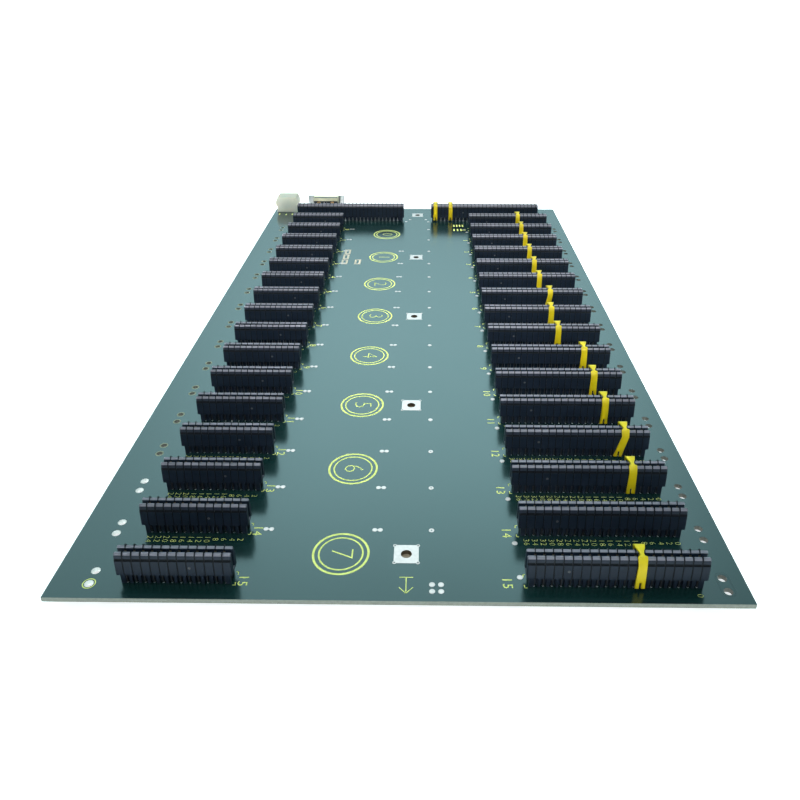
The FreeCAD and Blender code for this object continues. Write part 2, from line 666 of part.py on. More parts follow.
def make_all():
    make_board()
    for slot in range(SLOTS):
        row = slot_y(slot)
        label = f"long_connector_{slot:02d}"
        make_connector(label, RIGHT_CONTACTS, "end_margin", "long_x", row, SLOT_LEVELS)
        label = f"short_connector_{slot:02d}"
        make_connector(label, LEFT_CONTACTS, "end_margin", "0 - short_x", row, SLOT_LEVELS)
    for side, x in (("left", "0 - processor_x"), ("right", "processor_x")):
        label = f"processor_connector_{side}"
        make_connector(label, PROCESSOR_CONTACTS, "processor_end_margin", x, PROCESSOR_Y, PROCESSOR_LEVELS)
    for slot, gap in BAND_GAPS.items():
        lean = BAND_LEANS.get(slot, "0")
        label = f"keying_band_{slot:02d}"
        make_band(label, RIGHT_CONTACTS, "long_x", slot_y(slot), gap, SLOT_LEVELS, lean)
    for number, gap in enumerate(PROCESSOR_BAND_GAPS, start=1):
        label = f"processor_band_{number}"
        make_band(label, PROCESSOR_CONTACTS, "processor_x", PROCESSOR_Y, gap, PROCESSOR_LEVELS)
    make_power_header()
    make_power_pins()
    make_data_connector()


make_all()
doc.recompute()

for item in doc.Objects:
    if "Invalid" in item.State or "Error" in item.State:
        raise RuntimeError(f"{item.Label} is not valid: {item.State}")

os.makedirs("parts", exist_ok=True)
for piece in pieces:
    if not piece.Shape.isValid():
        raise RuntimeError(f"{piece.Label} has a faulty shape")
    piece.Shape.exportStep(f"parts/{piece.Label}.step")
print(len(pieces), "pieces written")
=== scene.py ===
# %% [markdown]
# # A backplane board, dressed for its picture
# The CAD model gives this board its size and its main solids. Here the looks are added around it.
# Everything is in metres and in the CAD model's own frame: X across the board, Y along it, Z up.

# %% Load the frame
import bpy
import json
import math
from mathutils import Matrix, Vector

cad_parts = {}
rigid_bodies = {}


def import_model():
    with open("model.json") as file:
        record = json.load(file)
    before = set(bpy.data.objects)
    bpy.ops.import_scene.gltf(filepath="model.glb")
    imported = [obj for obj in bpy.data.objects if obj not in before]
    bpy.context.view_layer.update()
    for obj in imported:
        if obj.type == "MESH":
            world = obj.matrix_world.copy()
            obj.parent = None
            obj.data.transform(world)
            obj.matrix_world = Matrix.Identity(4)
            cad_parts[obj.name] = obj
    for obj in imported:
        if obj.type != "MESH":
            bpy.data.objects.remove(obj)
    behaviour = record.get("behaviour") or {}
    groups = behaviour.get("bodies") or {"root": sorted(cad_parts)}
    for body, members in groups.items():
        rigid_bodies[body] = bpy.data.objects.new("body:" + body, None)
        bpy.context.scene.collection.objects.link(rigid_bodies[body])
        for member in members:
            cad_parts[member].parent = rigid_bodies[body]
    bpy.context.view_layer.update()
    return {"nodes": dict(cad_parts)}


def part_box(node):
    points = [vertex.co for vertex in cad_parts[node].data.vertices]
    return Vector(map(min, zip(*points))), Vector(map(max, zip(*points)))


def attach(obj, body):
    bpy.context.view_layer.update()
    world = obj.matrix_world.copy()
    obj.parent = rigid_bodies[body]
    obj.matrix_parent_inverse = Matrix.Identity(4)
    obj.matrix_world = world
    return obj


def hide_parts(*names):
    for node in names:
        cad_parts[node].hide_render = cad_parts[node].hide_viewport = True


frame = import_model()
nodes = frame["nodes"]
MM = 0.001
print("CAD nodes:", len(nodes))

# %% [markdown]
# ## Measures
# The rows, the board's faces and the connectors' middles are read from the CAD nodes, so that the
# added pieces land on the solids. The finer measures below belong to details that only the scene has.

# %% Rows and faces of the board
SLOTS = 16


def middle(node):
    """The middle of a CAD node's box."""
    low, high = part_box(node)
    return [(a + b) / 2 for a, b in zip(low, high)]


board_low, board_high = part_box("board")
TOP = board_high[2]
ROWS = [middle(f"long_connector_{slot:02d}")[1] for slot in range(SLOTS)]
near_row = ROWS[-1]
LONG_X = middle("long_connector_00")[0]
SHORT_X = middle("short_connector_00")[0]
PITCH = 3.96 * MM
LONG_COUNT = 19
SHORT_COUNT = 12
PROCESSOR_COUNT = 28
PIN_ROW = 2.54 * MM
print("slot rows from", round(near_row, 4), "to", round(ROWS[0], 4))

# %% [markdown]
# ## Camera
# The board was photographed from just above its near end with a fairly wide lens, so the far end looks
# small. The camera's place, tilt and lens were worked out from the corners of the board, the slots and
# the way the connectors' upright edges lean. The picture is shifted a little to place the board in it.

# %% Place the camera
EYE = (7.57 * MM, -510.7 * MM, 248.3 * MM)
LOOK_DOWN = math.radians(26)
LOOK_LEFT = math.radians(0.73)
LENS = 32.87
SENSOR_WIDTH = 36
SHIFT_X = -0.0195
SHIFT_Y = -0.0999
CLIP_START = 10 * MM
bpy.ops.object.camera_add(location=EYE, rotation=(math.pi / 2 - LOOK_DOWN, 0, LOOK_LEFT))
camera = bpy.context.object
camera.name = "photo_camera"
camera.data.lens = LENS
camera.data.sensor_width = SENSOR_WIDTH
camera.data.shift_x = SHIFT_X
camera.data.shift_y = SHIFT_Y
camera.data.clip_start = CLIP_START
bpy.context.scene.camera = camera
print("camera at", [round(v, 3) for v in EYE])

# %% [markdown]
# ## Studio
# A wide white floor runs out of the picture on all sides and glows, so that it stays white under
# the board. A dull strip lies under the mounting holes, where the real table is in shade. The bright sky is
# what the glossy board mirrors, and soft lights fill the near faces.

# %% Selection helpers
def deselect():
    """Leave edit mode and select nothing."""
    if bpy.context.object and bpy.context.object.mode != "OBJECT":
        bpy.ops.object.mode_set(mode="OBJECT")
    bpy.ops.object.select_all(action="DESELECT")


def pick(piece):
    """Make one piece the only selected one, and the active one."""
    deselect()
    piece.select_set(True)
    bpy.context.view_layer.objects.active = piece


def settle():
    """Apply the place, turn and scale of the active piece, and return it."""
    bpy.ops.object.transform_apply(location=True, rotation=True, scale=True)
    return bpy.context.object


# %% Floor
FLOOR_SIZE = 60
FLOOR_DROP = 6 * MM
FLOOR_COLOUR = (0.9, 0.9, 0.9)
FLOOR_GLOW = (0.75, 0.75, 0.75)
SHADE_WIDE = 30 * MM
SHADE_LONG = 530 * MM
SHADE_Y = 3 * MM
SHADE_RISE = 0.1 * MM
SHADE_COLOUR = (0.19, 0.18, 0.14)
SHADE_GLOW = (0.16, 0.14, 0.10)


def set_shader(finish, **values):
    """Set plain values on the shader, with spaces in a socket's name written as underscores."""
    shader = finish.node_tree.nodes["Principled BSDF"]
    for socket, value in values.items():
        shader.inputs[socket.replace("_", " ")].default_value = value
    return finish


def stage_paint(name, colour, glow):
    """A paint for the stage that gives some light of its own."""
    paint = bpy.data.materials.new(name)
    paint.use_nodes = True
    return set_shader(paint, Base_Color=(*colour, 1), Emission_Color=(*glow, 1), Emission_Strength=1.0)


deselect()
bpy.ops.mesh.primitive_plane_add(size=FLOOR_SIZE, location=(0, 0, -FLOOR_DROP))
floor = bpy.context.object
floor.name = "studio_floor"
pale = stage_paint("pale_floor", FLOOR_COLOUR, FLOOR_GLOW)
floor.data.materials.append(set_shader(pale, Roughness=1.0, Specular_IOR_Level=0.0))

deselect()
bpy.ops.mesh.primitive_plane_add(size=1, location=(0, SHADE_Y, SHADE_RISE - FLOOR_DROP))
bpy.context.object.scale = (SHADE_WIDE, SHADE_LONG, 1)
shade = settle()
shade.name = "shade_under_holes"
shade.data.materials.append(stage_paint("shaded_floor", SHADE_COLOUR, SHADE_GLOW))

bpy.context.scene.view_settings.view_transform = "Standard"
print("stage pieces:", floor.name, shade.name)

# %% [markdown]
# The sky and the finishes are node trees. A few helpers build the nodes that they share, from
# outputs of other nodes and plain values.

# %% Node helpers
def feed(tree, socket, value):
    """Link another node's output to a socket, or set the socket to a plain value."""
    if isinstance(value, bpy.types.NodeSocket):
        tree.links.new(value, socket)
    else:
        socket.default_value = value


def calculate(tree, operation, *terms):
    """The result of a Math node."""
    node = tree.nodes.new("ShaderNodeMath")
    node.operation = operation
    for socket, term in zip(node.inputs, terms):
        feed(tree, socket, term)
    return node.outputs[0]


def remap(tree, value, start, end, low=0.0, high=1.0, kind="LINEAR"):
    """A value carried over from one range to another."""
    node = tree.nodes.new("ShaderNodeMapRange")
    node.interpolation_type = kind
    sockets = ("Value", "From Min", "From Max", "To Min", "To Max")
    for socket, term in zip(sockets, (value, start, end, low, high)):
        feed(tree, node.inputs[socket], term)
    return node.outputs["Result"]


def split(tree, vector):
    """The X, Y and Z of a vector."""
    node = tree.nodes.new("ShaderNodeSeparateXYZ")
    tree.links.new(vector, node.inputs["Vector"])
    return node.outputs


def colour_ramp(tree, value, stops):
    """A colour for every value, from places and colours in rising order."""
    node = tree.nodes.new("ShaderNodeValToRGB")
    for place, _ in stops[1:-1]:
        node.color_ramp.elements.new(place)
    for stop, (place, colour) in zip(node.color_ramp.elements, stops):
        stop.position = place
        stop.color = (*colour, 1)
    tree.links.new(value, node.inputs["Fac"])
    return node.outputs["Color"]


# %% [markdown]
# The sky is brightest beyond the far end, at the height where the board mirrors it towards the camera.
# It fades to both sides and behind the camera, so the connectors' near faces stay dark. A second bright
# part overhead is what the connectors' sloping tops mirror.

# %% Sky
SKY_STRENGTH = 3.2
SKY_BEHIND = 0.2
SKY_COLOUR = (0.655, 1.03, 1.10, 1)
SKY_BY_HEIGHT = [(0.0, 0.1), (0.2, 0.24), (0.31, 0.4), (0.45, 0.8), (0.58, 0.98),
                 (0.66, 0.9), (0.72, 0.63), (0.82, 0.5), (0.92, 0.8), (1.0, 1.0)]
world = bpy.data.worlds.new("studio_world")
bpy.context.scene.world = world
world.use_nodes = True
sky = world.node_tree
direction = split(sky, sky.nodes.new("ShaderNodeTexCoord").outputs["Generated"])
greys = [(place, (share, share, share)) for place, share in SKY_BY_HEIGHT]
strength = colour_ramp(sky, direction["Z"], greys)
fades = [
    ("Y", -0.3, 0.35, SKY_BEHIND * SKY_STRENGTH, SKY_STRENGTH),
    ("X", 0.15, 0.45, 1.0, 0.33),
    ("X", -0.45, -0.12, 0.58, 1.0),
]
for axis, start, end, low, high in fades:
    change = remap(sky, direction[axis], start, end, low, high, "SMOOTHSTEP")
    strength = calculate(sky, "MULTIPLY", strength, change)
backdrop = sky.nodes["Background"]
backdrop.inputs["Color"].default_value = SKY_COLOUR
sky.links.new(strength, backdrop.inputs["Strength"])
print("sky nodes:", len(sky.nodes))

# %% [markdown]
# A large lamp stands at the left and another behind the camera. Two small ones with narrow beams lift the
# middle and the far end of the board.

# %% Soft lights
def soft_light(name, place, aim, size, power, colour=(1, 1, 1), spread=180):
    """A square lamp that faces a point, with the spread of its beam in degrees."""
    deselect()
    bpy.ops.object.light_add(type="AREA", location=place)
    lamp = bpy.context.object
    lamp.name = name
    lamp.data.shape = "SQUARE"
    lamp.data.size = size
    lamp.data.energy = power
    lamp.data.color = colour
    lamp.data.spread = math.radians(spread)
    lamp.rotation_euler = (Vector(aim) - Vector(place)).to_track_quat("-Z", "Y").to_euler()


soft_light("left_softbox", (-1.6, -0.4, 1.6), (0, 0, 0), 1.6, 5)
soft_light("front_fill", (-0.6, -2.0, 1.0), (0, 0, 0), 2.0, 2.7, colour=(1.0, 0.95, 0.9))
soft_light("far_fill", (0.0, -0.35, 0.75), (-0.02, 0.24, 0), 0.3, 0.6, spread=60)
soft_light("mid_fill", (0.0, -1.0, 0.9), (0.02, -0.02, 0), 0.3, 0.28, (0.85, 0.93, 1.0), 22)

# %% [markdown]
# ## Finishes
# Each finish is a small node tree on Object coordinates. A soft noise moves its colour and roughness a
# little, as real mouldings and lacquers vary, and a finer noise gives the surface its grain.

# %% A finish with mottle and grain
PATCH_DETAIL = 4
GRAIN_DETAIL = 3
GRAIN_DEPTH = 0.1 * MM
SHADE_FROM = 0.3
SHADE_TO = 0.7
SMOOTHER = 0.8
ROUGHER = 1.2


def noise(tree, where, scale, detail):
    """The value of a noise with so many patches to a metre."""
    node = tree.nodes.new("ShaderNodeTexNoise")
    node.inputs["Scale"].default_value = scale
    node.inputs["Detail"].default_value = detail
    tree.links.new(where, node.inputs["Vector"])
    return node.outputs["Fac"]


def new_finish(name, colour, roughness, metal=0.0, patch=150, grain=1500, mottle=0.12, relief=0.06):
    """A material whose colour, roughness and surface are slightly uneven. Scales are per metre."""
    finish = bpy.data.materials.new(name)
    finish.use_nodes = True
    set_shader(finish, Metallic=metal)
    tree = finish.node_tree
    shader = tree.nodes["Principled BSDF"]
    where = tree.nodes.new("ShaderNodeTexCoord").outputs["Object"]
    patches = noise(tree, where, patch, PATCH_DETAIL)
    darker = [c * (1 - mottle) for c in colour]
    paler = [min(c * (1 + mottle), 1) for c in colour]
    shades = colour_ramp(tree, patches, [(SHADE_FROM, darker), (SHADE_TO, paler)])
    tree.links.new(shades, shader.inputs["Base Color"])
    sheen = remap(tree, patches, 0, 1, roughness * SMOOTHER, min(roughness * ROUGHER, 1))
    tree.links.new(sheen, shader.inputs["Roughness"])
    bump = tree.nodes.new("ShaderNodeBump")
    bump.inputs["Strength"].default_value = relief
    bump.inputs["Distance"].default_value = GRAIN_DEPTH
    tree.links.new(noise(tree, where, grain, GRAIN_DETAIL), bump.inputs["Height"])
    tree.links.new(bump.outputs["Normal"], shader.inputs["Normal"])
    return finish


moulding = set_shader(new_finish("black_moulding", (0.011, 0.017, 0.028), 0.42), IOR=1.5)
# A darker copy of the moulding: painted shade for the pockets, ribs and fins.
shaded_moulding = new_finish("shaded_moulding", (0.004, 0.005, 0.007), 0.5)
set_shader(shaded_moulding, Specular_IOR_Level=0.15)
yellow_plastic = new_finish("yellow_band", (0.655, 0.47, 0.006), 0.42, mottle=0.06)
set_shader(yellow_plastic, Specular_IOR_Level=0.25)
ink = new_finish("yellow_ink", (0.72, 0.69, 0.19), 0.6, patch=600, mottle=0.14)
set_shader(ink, Specular_IOR_Level=0.1)
tin = new_finish("tin", (0.57, 0.43, 0.405), 0.3, metal=0.85, patch=500, mottle=0.10)
solder = new_finish("solder", (0.62, 0.63, 0.64), 0.34, metal=0.9, patch=900, mottle=0.15)
# Near-black tin for the slot contacts' tails and the open via mouths: painted shade.
shaded_tin = new_finish("tin_painted_in_shade", (0.02, 0.02, 0.022), 0.5, metal=0.3, patch=900, mottle=0.2)
# Bronze much darker than bare metal: painted shade on the springs in the card slot and in the pad barrels.
shaded_bronze = new_finish("contact_bronze_shaded", (0.15, 0.125, 0.09), 0.4, metal=0.9, patch=700)
gold = new_finish("gold_contact", (0.78, 0.42, 0.16), 0.3, metal=0.9, patch=500)
nylon = new_finish("natural_nylon", (0.74, 0.66, 0.53), 0.42, mottle=0.05)
set_shader(nylon, Subsurface_Weight=0.25)
zinc = new_finish("yellow_passivated", (0.93, 0.86, 0.62), 0.4, metal=0.1, patch=180, mottle=0.1)
nickel = new_finish("plated_steel", (0.52, 0.51, 0.50), 0.32, metal=0.9, patch=220)
worn_spot = new_finish("gate_mark", (0.05, 0.05, 0.055), 0.5)
dark_block = new_finish("grey_insulator", (0.05, 0.05, 0.055), 0.5)
tan_ink = new_finish("tan_stamp", (0.52, 0.40, 0.29), 0.6, patch=900, mottle=0.2)
bare_rim = new_finish("bare_rim", (0.20, 0.20, 0.125), 0.6, patch=900)
dark_trace = new_finish("dark_trace", (0.004, 0.012, 0.014), 0.4, patch=900)
print("finishes:", len(bpy.data.materials))

# %% [markdown]
# The faces that look up get another colour and another gloss than the upright faces. On the moulding the
# colour is lighter, partly dust and partly a painted sheen; on the nylon it is darker, a painted shade.

# %% Dust and painted light on the tops
TOP_TINT_FROM = 0.28
TOP_TINT_FULL = 0.56


def mix_colours(tree, factor, first, second):
    """One colour that changes to another."""
    node = tree.nodes.new("ShaderNodeMix")
    node.data_type = "RGBA"
    for socket, value in (("Factor", factor), ("A", first), ("B", second)):
        feed(tree, node.inputs[socket], value)
    return node.outputs["Result"]


def lay_over(finish, factor, colour):
    """Change a finish's colour to another one where the factor is high."""
    tree = finish.node_tree
    socket = tree.nodes["Principled BSDF"].inputs["Base Color"]
    tree.links.new(mix_colours(tree, factor, socket.links[0].from_socket, colour), socket)


def dust_tops(finish, top_tint, upright_gloss, top_gloss):
    """Tint the faces that look up, which paints dust and sheen on the moulding and shade on the nylon, and
    give them a gloss of their own.
    """
    tree = finish.node_tree
    facing = split(tree, tree.nodes.new("ShaderNodeNewGeometry").outputs["Normal"])
    amount = remap(tree, facing["Z"], TOP_TINT_FROM, TOP_TINT_FULL)
    lay_over(finish, amount, (*top_tint, 1))
    gloss = remap(tree, amount, 0, 1, upright_gloss, top_gloss)
    tree.links.new(gloss, tree.nodes["Principled BSDF"].inputs["Specular IOR Level"])


# The moulding's tops are lightened by dust and a painted sheen.
dust_tops(moulding, (0.19, 0.175, 0.205), 0.17, 0.48)
# The nylon's top is darkened: painted shade.
dust_tops(nylon, (0.47, 0.42, 0.33), 0.3, 0.2)
print("dusty finishes:", moulding.name, nylon.name)

# %% [markdown]
# ## The board
# The board keeps its CAD solid, with its outline and holes. Its lacquer is a deep teal under a clear
# gloss, and the lacquer stops at the edges, where the bare glass-fibre laminate shows in tan layers.
# The finish tells the two apart by which way a face points. Holes have walls of their own, painted very
# pale at the near left as the light that comes up through them, and dark elsewhere as painted shade.

# %% Lacquer over laminate
RIM = 1.5 * MM
EDGE_ON = 0.5
LAYER_SCALE = 900
LAYER_DETAIL = 5
LAMINATE = [(0, (0.13, 0.13, 0.10)), (1, (0.26, 0.26, 0.20))]
# Hole wall colours: painted light at the near left, painted shade elsewhere.
LIT_WALL = (0.95, 0.96, 0.93, 1)
SHADED_WALL = (0.10, 0.10, 0.08, 1)
LIT_TO_X = 0.0
LIT_TO_Y = -0.2
DARK_FROM_Y = -0.18


def coat(piece, finish):
    """Give a piece this finish alone."""
    piece.data.materials.clear()
    piece.data.materials.append(finish)


lacquer = new_finish("teal_lacquer", (0.005, 0.021, 0.0195), 0.19, patch=35, mottle=0.10, relief=0.02)
set_shader(lacquer, IOR=1.64, Specular_Tint=(0.9, 1.0, 0.99, 1))
tree = lacquer.node_tree
where = tree.nodes["Texture Coordinate"].outputs["Object"]
facing = split(tree, tree.nodes.new("ShaderNodeNewGeometry").outputs["True Normal"])
on_edge = calculate(tree, "LESS_THAN", calculate(tree, "ABSOLUTE", facing["Z"]), EDGE_ON)
laminate = colour_ramp(tree, noise(tree, where, LAYER_SCALE, LAYER_DETAIL), LAMINATE)
place = split(tree, where)
within = [calculate(tree, "COMPARE", place[axis], (low + high) / 2, (high - low) / 2 - RIM)
          for axis, low, high in zip("XY", board_low, board_high)]
in_hole = calculate(tree, "MULTIPLY", *within)
# Hole walls change from painted light to painted shade by place on the board.
to_right = calculate(tree, "GREATER_THAN", place["X"], LIT_TO_X)
to_far = remap(tree, place["Y"], LIT_TO_Y, DARK_FROM_Y)
wall = mix_colours(tree, calculate(tree, "MAXIMUM", to_right, to_far), LIT_WALL, SHADED_WALL)
lay_over(lacquer, on_edge, mix_colours(tree, in_hole, laminate, wall))
coat(nodes["board"], lacquer)
print("board is", [round(h - l, 4) for l, h in zip(board_low, board_high)])

# %% [markdown]
# ## Card-edge connectors
# Each connector is a moulding with a cell for every contact pair. A cell has two walls either side of the
# card slot, with a lip along its top and a row of pockets under the lip. A rib stands between pockets
# and rises over the lip as a thin fin. One cell is drawn as a loop of points, swept along X with changes
# of section, and repeated with an Array modifier. Ribs, fins and pockets get a darker copy of the finish
# without dust, as painted shade.
# Below the walls stand pillars, with a window in front of every contact's tail.

# %% Sections of one cell
SLOT_FLOOR = 6.6 * MM
TOP_HALF = 3.2 * MM
BEVEL_HALF = 3.9 * MM
UNDER_HALF = 4.2 * MM
CARD_HALF = 1.1 * MM
LEAD_IN = 1.1 * MM
LEAD_DEPTH = 0.65 * MM
GROOVE_DEPTH = 0.25 * MM
GROOVE_HALF = 0.25 * MM
GROOVE_RISE = 0.7 * MM
FIN_RISE = 0.9 * MM
FIN_REACH = 0.25 * MM
LIP = 0.24 * MM
POCKET = 0.5 * MM
POCKET_STEP = 0.1 * MM
LIP_LOW = 0.2 * MM
LIP_SLOPE = 1.1 * MM
FACE_DROP = 0.85 * MM
END_CUT = 0.35 * MM


def height_of(node):
    """How far a CAD node rises above the board."""
    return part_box(node)[1][2] - TOP


# Top, lower edge of the bevel and underside, above the board
SLOT_LEVELS = (height_of("long_connector_00"), 13.9 * MM, 5.5 * MM)
PROCESSOR_LEVELS = (height_of("processor_connector_left"), 15.0 * MM, 4.0 * MM)


def both_walls(front):
    """The front wall's points, followed by the rear wall's in the opposite order."""
    return [(-y, z) for y, z in front] + [(y, z) for y, z in reversed(front)]


def sections(levels):
    """The plain section of a cell, the one with its ribs and fins, and the one at a connector's ends."""
    top, bevel, under = levels
    groove_end = under + GROOVE_RISE
    face_top = bevel - FACE_DROP
    pocket_low = face_top + POCKET_STEP
    lip_low = bevel + LIP_LOW
    plain = both_walls([
        (UNDER_HALF, under),
        (UNDER_HALF, groove_end),
        (BEVEL_HALF, face_top),
        (BEVEL_HALF - POCKET, pocket_low),
        (TOP_HALF - POCKET / 2, lip_low),
        (TOP_HALF + LIP, lip_low),
        (TOP_HALF - LIP, top - LIP_SLOPE),
        (CARD_HALF + LEAD_IN, top),
        (CARD_HALF, top - LEAD_DEPTH),
        (CARD_HALF, SLOT_FLOOR),
    ])
    ribbed = both_walls([
        (UNDER_HALF, under),
        (UNDER_HALF - GROOVE_DEPTH, groove_end),
        (BEVEL_HALF - GROOVE_DEPTH, face_top),
        (BEVEL_HALF - GROOVE_DEPTH, pocket_low),
        (TOP_HALF + LIP, lip_low),
        (TOP_HALF + FIN_REACH, lip_low),
        (TOP_HALF + FIN_REACH / 2, top - LIP_SLOPE + FIN_RISE / 2),
        (CARD_HALF + LEAD_IN, top + FIN_RISE),
        (CARD_HALF, top - LEAD_DEPTH),
        (CARD_HALF, SLOT_FLOOR),
    ])
    chamfered = both_walls([
        (UNDER_HALF - END_CUT, under),
        (UNDER_HALF - END_CUT, groove_end),
        (BEVEL_HALF - END_CUT, face_top),
        (BEVEL_HALF - END_CUT - POCKET / 2, pocket_low),
        (TOP_HALF - POCKET / 2, lip_low),
        (TOP_HALF, lip_low),
        (TOP_HALF - END_CUT, top - LIP_SLOPE - END_CUT),
        (CARD_HALF + LEAD_IN, top - END_CUT),
        (CARD_HALF + END_CUT, top - LEAD_DEPTH - END_CUT),
        (CARD_HALF + END_CUT, SLOT_FLOOR),
    ])
    return plain, ribbed, chamfered


def at(x, section):
    """A section's points in space at a place along X."""
    return [Vector((x, y, z)) for y, z in section]


# %% Sweep a loop from section to section
SAME_POINT = 1e-7
MERGE = 0.002 * MM
WELD = 0.005 * MM


def start_loop(points):
    """A closed loop of edges through the points, started as a circle."""
    deselect()
    bpy.ops.mesh.primitive_circle_add(vertices=len(points), radius=MM)
    piece = bpy.context.object
    for vertex, point in zip(piece.data.vertices, points):
        vertex.co = point
    return piece


def select_points(piece, points):
    """Select the vertices that lie on the points, and stay in edit mode."""
    pick(piece)
    bpy.ops.object.mode_set(mode="EDIT")
    bpy.ops.mesh.select_mode(type="VERT")
    bpy.ops.mesh.select_all(action="DESELECT")
    bpy.ops.object.mode_set(mode="OBJECT")
    for vertex in piece.data.vertices:
        vertex.select = min((vertex.co - point).length for point in points) < SAME_POINT
    bpy.ops.object.mode_set(mode="EDIT")


def sweep(piece, stations):
    """Extrude the loop that lies on the first station's points, and lay it on each next station."""
    for start, end in zip(stations, stations[1:]):
        select_points(piece, start)
        bpy.ops.mesh.extrude_region_move()
        bpy.ops.object.mode_set(mode="OBJECT")
        for vertex in piece.data.vertices:
            if vertex.select:
                nearest = min(range(len(start)), key=lambda i: (vertex.co - start[i]).length)
                vertex.co = end[nearest]


def close_loop(piece, points):
    """Fill the loop that lies on the points."""
    select_points(piece, points)
    bpy.ops.mesh.edge_face_add()
    bpy.ops.object.mode_set(mode="OBJECT")


def clean(piece):
    """Merge doubled points and turn every face outwards."""
    pick(piece)
    bpy.ops.object.mode_set(mode="EDIT")
    bpy.ops.mesh.select_all(action="SELECT")
    bpy.ops.mesh.remove_doubles(threshold=MERGE)
    bpy.ops.mesh.normals_make_consistent(inside=False)
    bpy.ops.object.mode_set(mode="OBJECT")


def add_modifier(piece, kind, **values):
    """Add a modifier with these values and apply it."""
    pick(piece)
    modifier = piece.modifiers.new(kind.lower(), kind)
    for key, value in values.items():
        setattr(modifier, key, value)
    bpy.ops.object.modifier_apply(modifier=modifier.name)


def repeat_along_x(piece, count):
    """Repeat a piece at the contacts' pitch, and weld the copies where they meet."""
    add_modifier(piece, "ARRAY", count=count, use_relative_offset=False, use_constant_offset=True,
                 constant_offset_displace=(PITCH, 0, 0), use_merge_vertices=True, merge_threshold=WELD)


# %% The walls of a connector
TOLERANCE = 0.02 * MM


def make_walls(count, length, levels):
    """The two walls of a connector with that many contact pairs, about the origin."""
    plain, ribbed, chamfered = sections(levels)
    _, bevel, _ = levels
    first = -(count - 1) / 2 * PITCH
    left, right = first - PITCH / 2, first + PITCH / 2
    stations = [at(left, plain), at(first - GROOVE_HALF, plain), at(first - GROOVE_HALF, ribbed),
                at(first + GROOVE_HALF, ribbed), at(first + GROOVE_HALF, plain), at(right, plain)]
    piece = start_loop(stations[0])
    sweep(piece, stations)
    clean(piece)
    piece.data.materials.append(moulding)
    piece.data.materials.append(shaded_moulding)
    # Faces on the ribs and in the pockets take the darker copy, as painted shade.
    for face in piece.data.polygons:
        on_rib = abs(face.center.x - first) < GROOVE_HALF + TOLERANCE
        in_pocket = bevel - FACE_DROP < face.center.z < bevel + LIP_LOW + TOLERANCE
        face.material_index = int(in_pocket or on_rib)
    repeat_along_x(piece, count)
    for side in (-1, 1):
        last = side * count / 2 * PITCH
        shoulder = side * (length / 2 - END_CUT)
        tip = side * length / 2
        sweep(piece, [at(last, plain), at(shoulder, plain), at(tip, chamfered)])
        close_loop(piece, at(tip, chamfered))
    clean(piece)
    return piece


# %% [markdown]
# The foot is a web under the card slot with a pillar between every two contacts and a post at each end.
# A pillar starts as a cube. Its hidden top and bottom are deleted, because it is repeated many times.

# %% The foot of a connector
PILLAR = 1.4 * MM
FOOT_HALF = 3.3 * MM
WEB_HALF = 1.7 * MM
FOOT_SETBACK = 1.3 * MM
POST = 2.2 * MM
LEVEL = 0.5


def block(low, high):
    """A block between two corners, made from a cube."""
    deselect()
    bpy.ops.mesh.primitive_cube_add(size=1)
    piece = bpy.context.object
    piece.scale = [h - l for l, h in zip(low, high)]
    piece.location = [(h + l) / 2 for l, h in zip(low, high)]
    return settle()


def select_faces(piece, wanted):
    """Select the faces that pass a test, and stay in edit mode."""
    pick(piece)
    bpy.ops.object.mode_set(mode="EDIT")
    bpy.ops.mesh.select_mode(type="FACE")
    bpy.ops.mesh.select_all(action="DESELECT")
    bpy.ops.object.mode_set(mode="OBJECT")
    for face in piece.data.polygons:
        face.select = wanted(face)
    bpy.ops.object.mode_set(mode="EDIT")


def drop_faces(piece, hidden):
    """Delete the faces that the test calls hidden."""
    select_faces(piece, hidden)
    bpy.ops.mesh.delete(type="FACE")
    bpy.ops.object.mode_set(mode="OBJECT")


def is_level(face):
    """Whether a face looks up or down."""
    return abs(face.normal.z) > LEVEL


def join(parts, name):
    """Join several pieces into one with this name."""
    pick(parts[0])
    for part in parts:
        part.select_set(True)
    bpy.ops.object.join()
    bpy.context.object.name = name
    return bpy.context.object


def make_foot(count, length, under):
    """The web, pillars and end posts of a connector, about the origin."""
    end = length / 2 - FOOT_SETBACK
    web = block((-end, -WEB_HALF, 0), (end, WEB_HALF, under))
    first = -(count - 2) / 2 * PITCH
    pillar = block((first - PILLAR / 2, -FOOT_HALF, 0), (first + PILLAR / 2, FOOT_HALF, under))
    drop_faces(pillar, is_level)
    repeat_along_x(pillar, count - 1)
    posts = [block((left, -FOOT_HALF, 0), (left + POST, FOOT_HALF, under)) for left in (-end, end - POST)]
    return [web, pillar] + posts


# %% [markdown]
# ## Contacts
# Every contact has a square tail that runs down through its window to a soldered pad, a spring that bulges
# into the card slot, and a solder joint under the board. There are more than a thousand, so one contact
# has only about two dozen faces.

# %% The contacts of a connector
TAIL_HALF = 0.32 * MM
# Radius and rise of the solder on top of the board
SLOT_PAD = (0.5 * MM, 0.3 * MM)
PROCESSOR_PAD = (0.85 * MM, 2.2 * MM)
JOINT_R = 1.1 * MM
JOINT_RISE = 0.3 * MM
CONE_SIDES = 8
SPRING_HALF = 0.55 * MM
# The spring's levels under the connector's top, after its root, and its bulge at the root and at each level
SPRING_DROPS = (6.6 * MM, 4.2 * MM, 1.7 * MM)
SPRING_BULGES = (0.05 * MM, 0.25 * MM, 0.5 * MM, 0.08 * MM)
DIGITS = 4


def solder_cone(place, radius, rise, tip):
    """A low cone of solder with its open side hidden against the board."""
    deselect()
    bpy.ops.mesh.primitive_cone_add(vertices=CONE_SIDES, radius1=radius, radius2=tip, depth=abs(rise),
                                    location=(place[0], place[1], place[2] + rise / 2),
                                    rotation=(0 if rise > 0 else math.pi, 0, 0))
    piece = settle()
    drop_faces(piece, lambda face: face.normal.z * math.copysign(1, rise) < -LEVEL)
    return piece


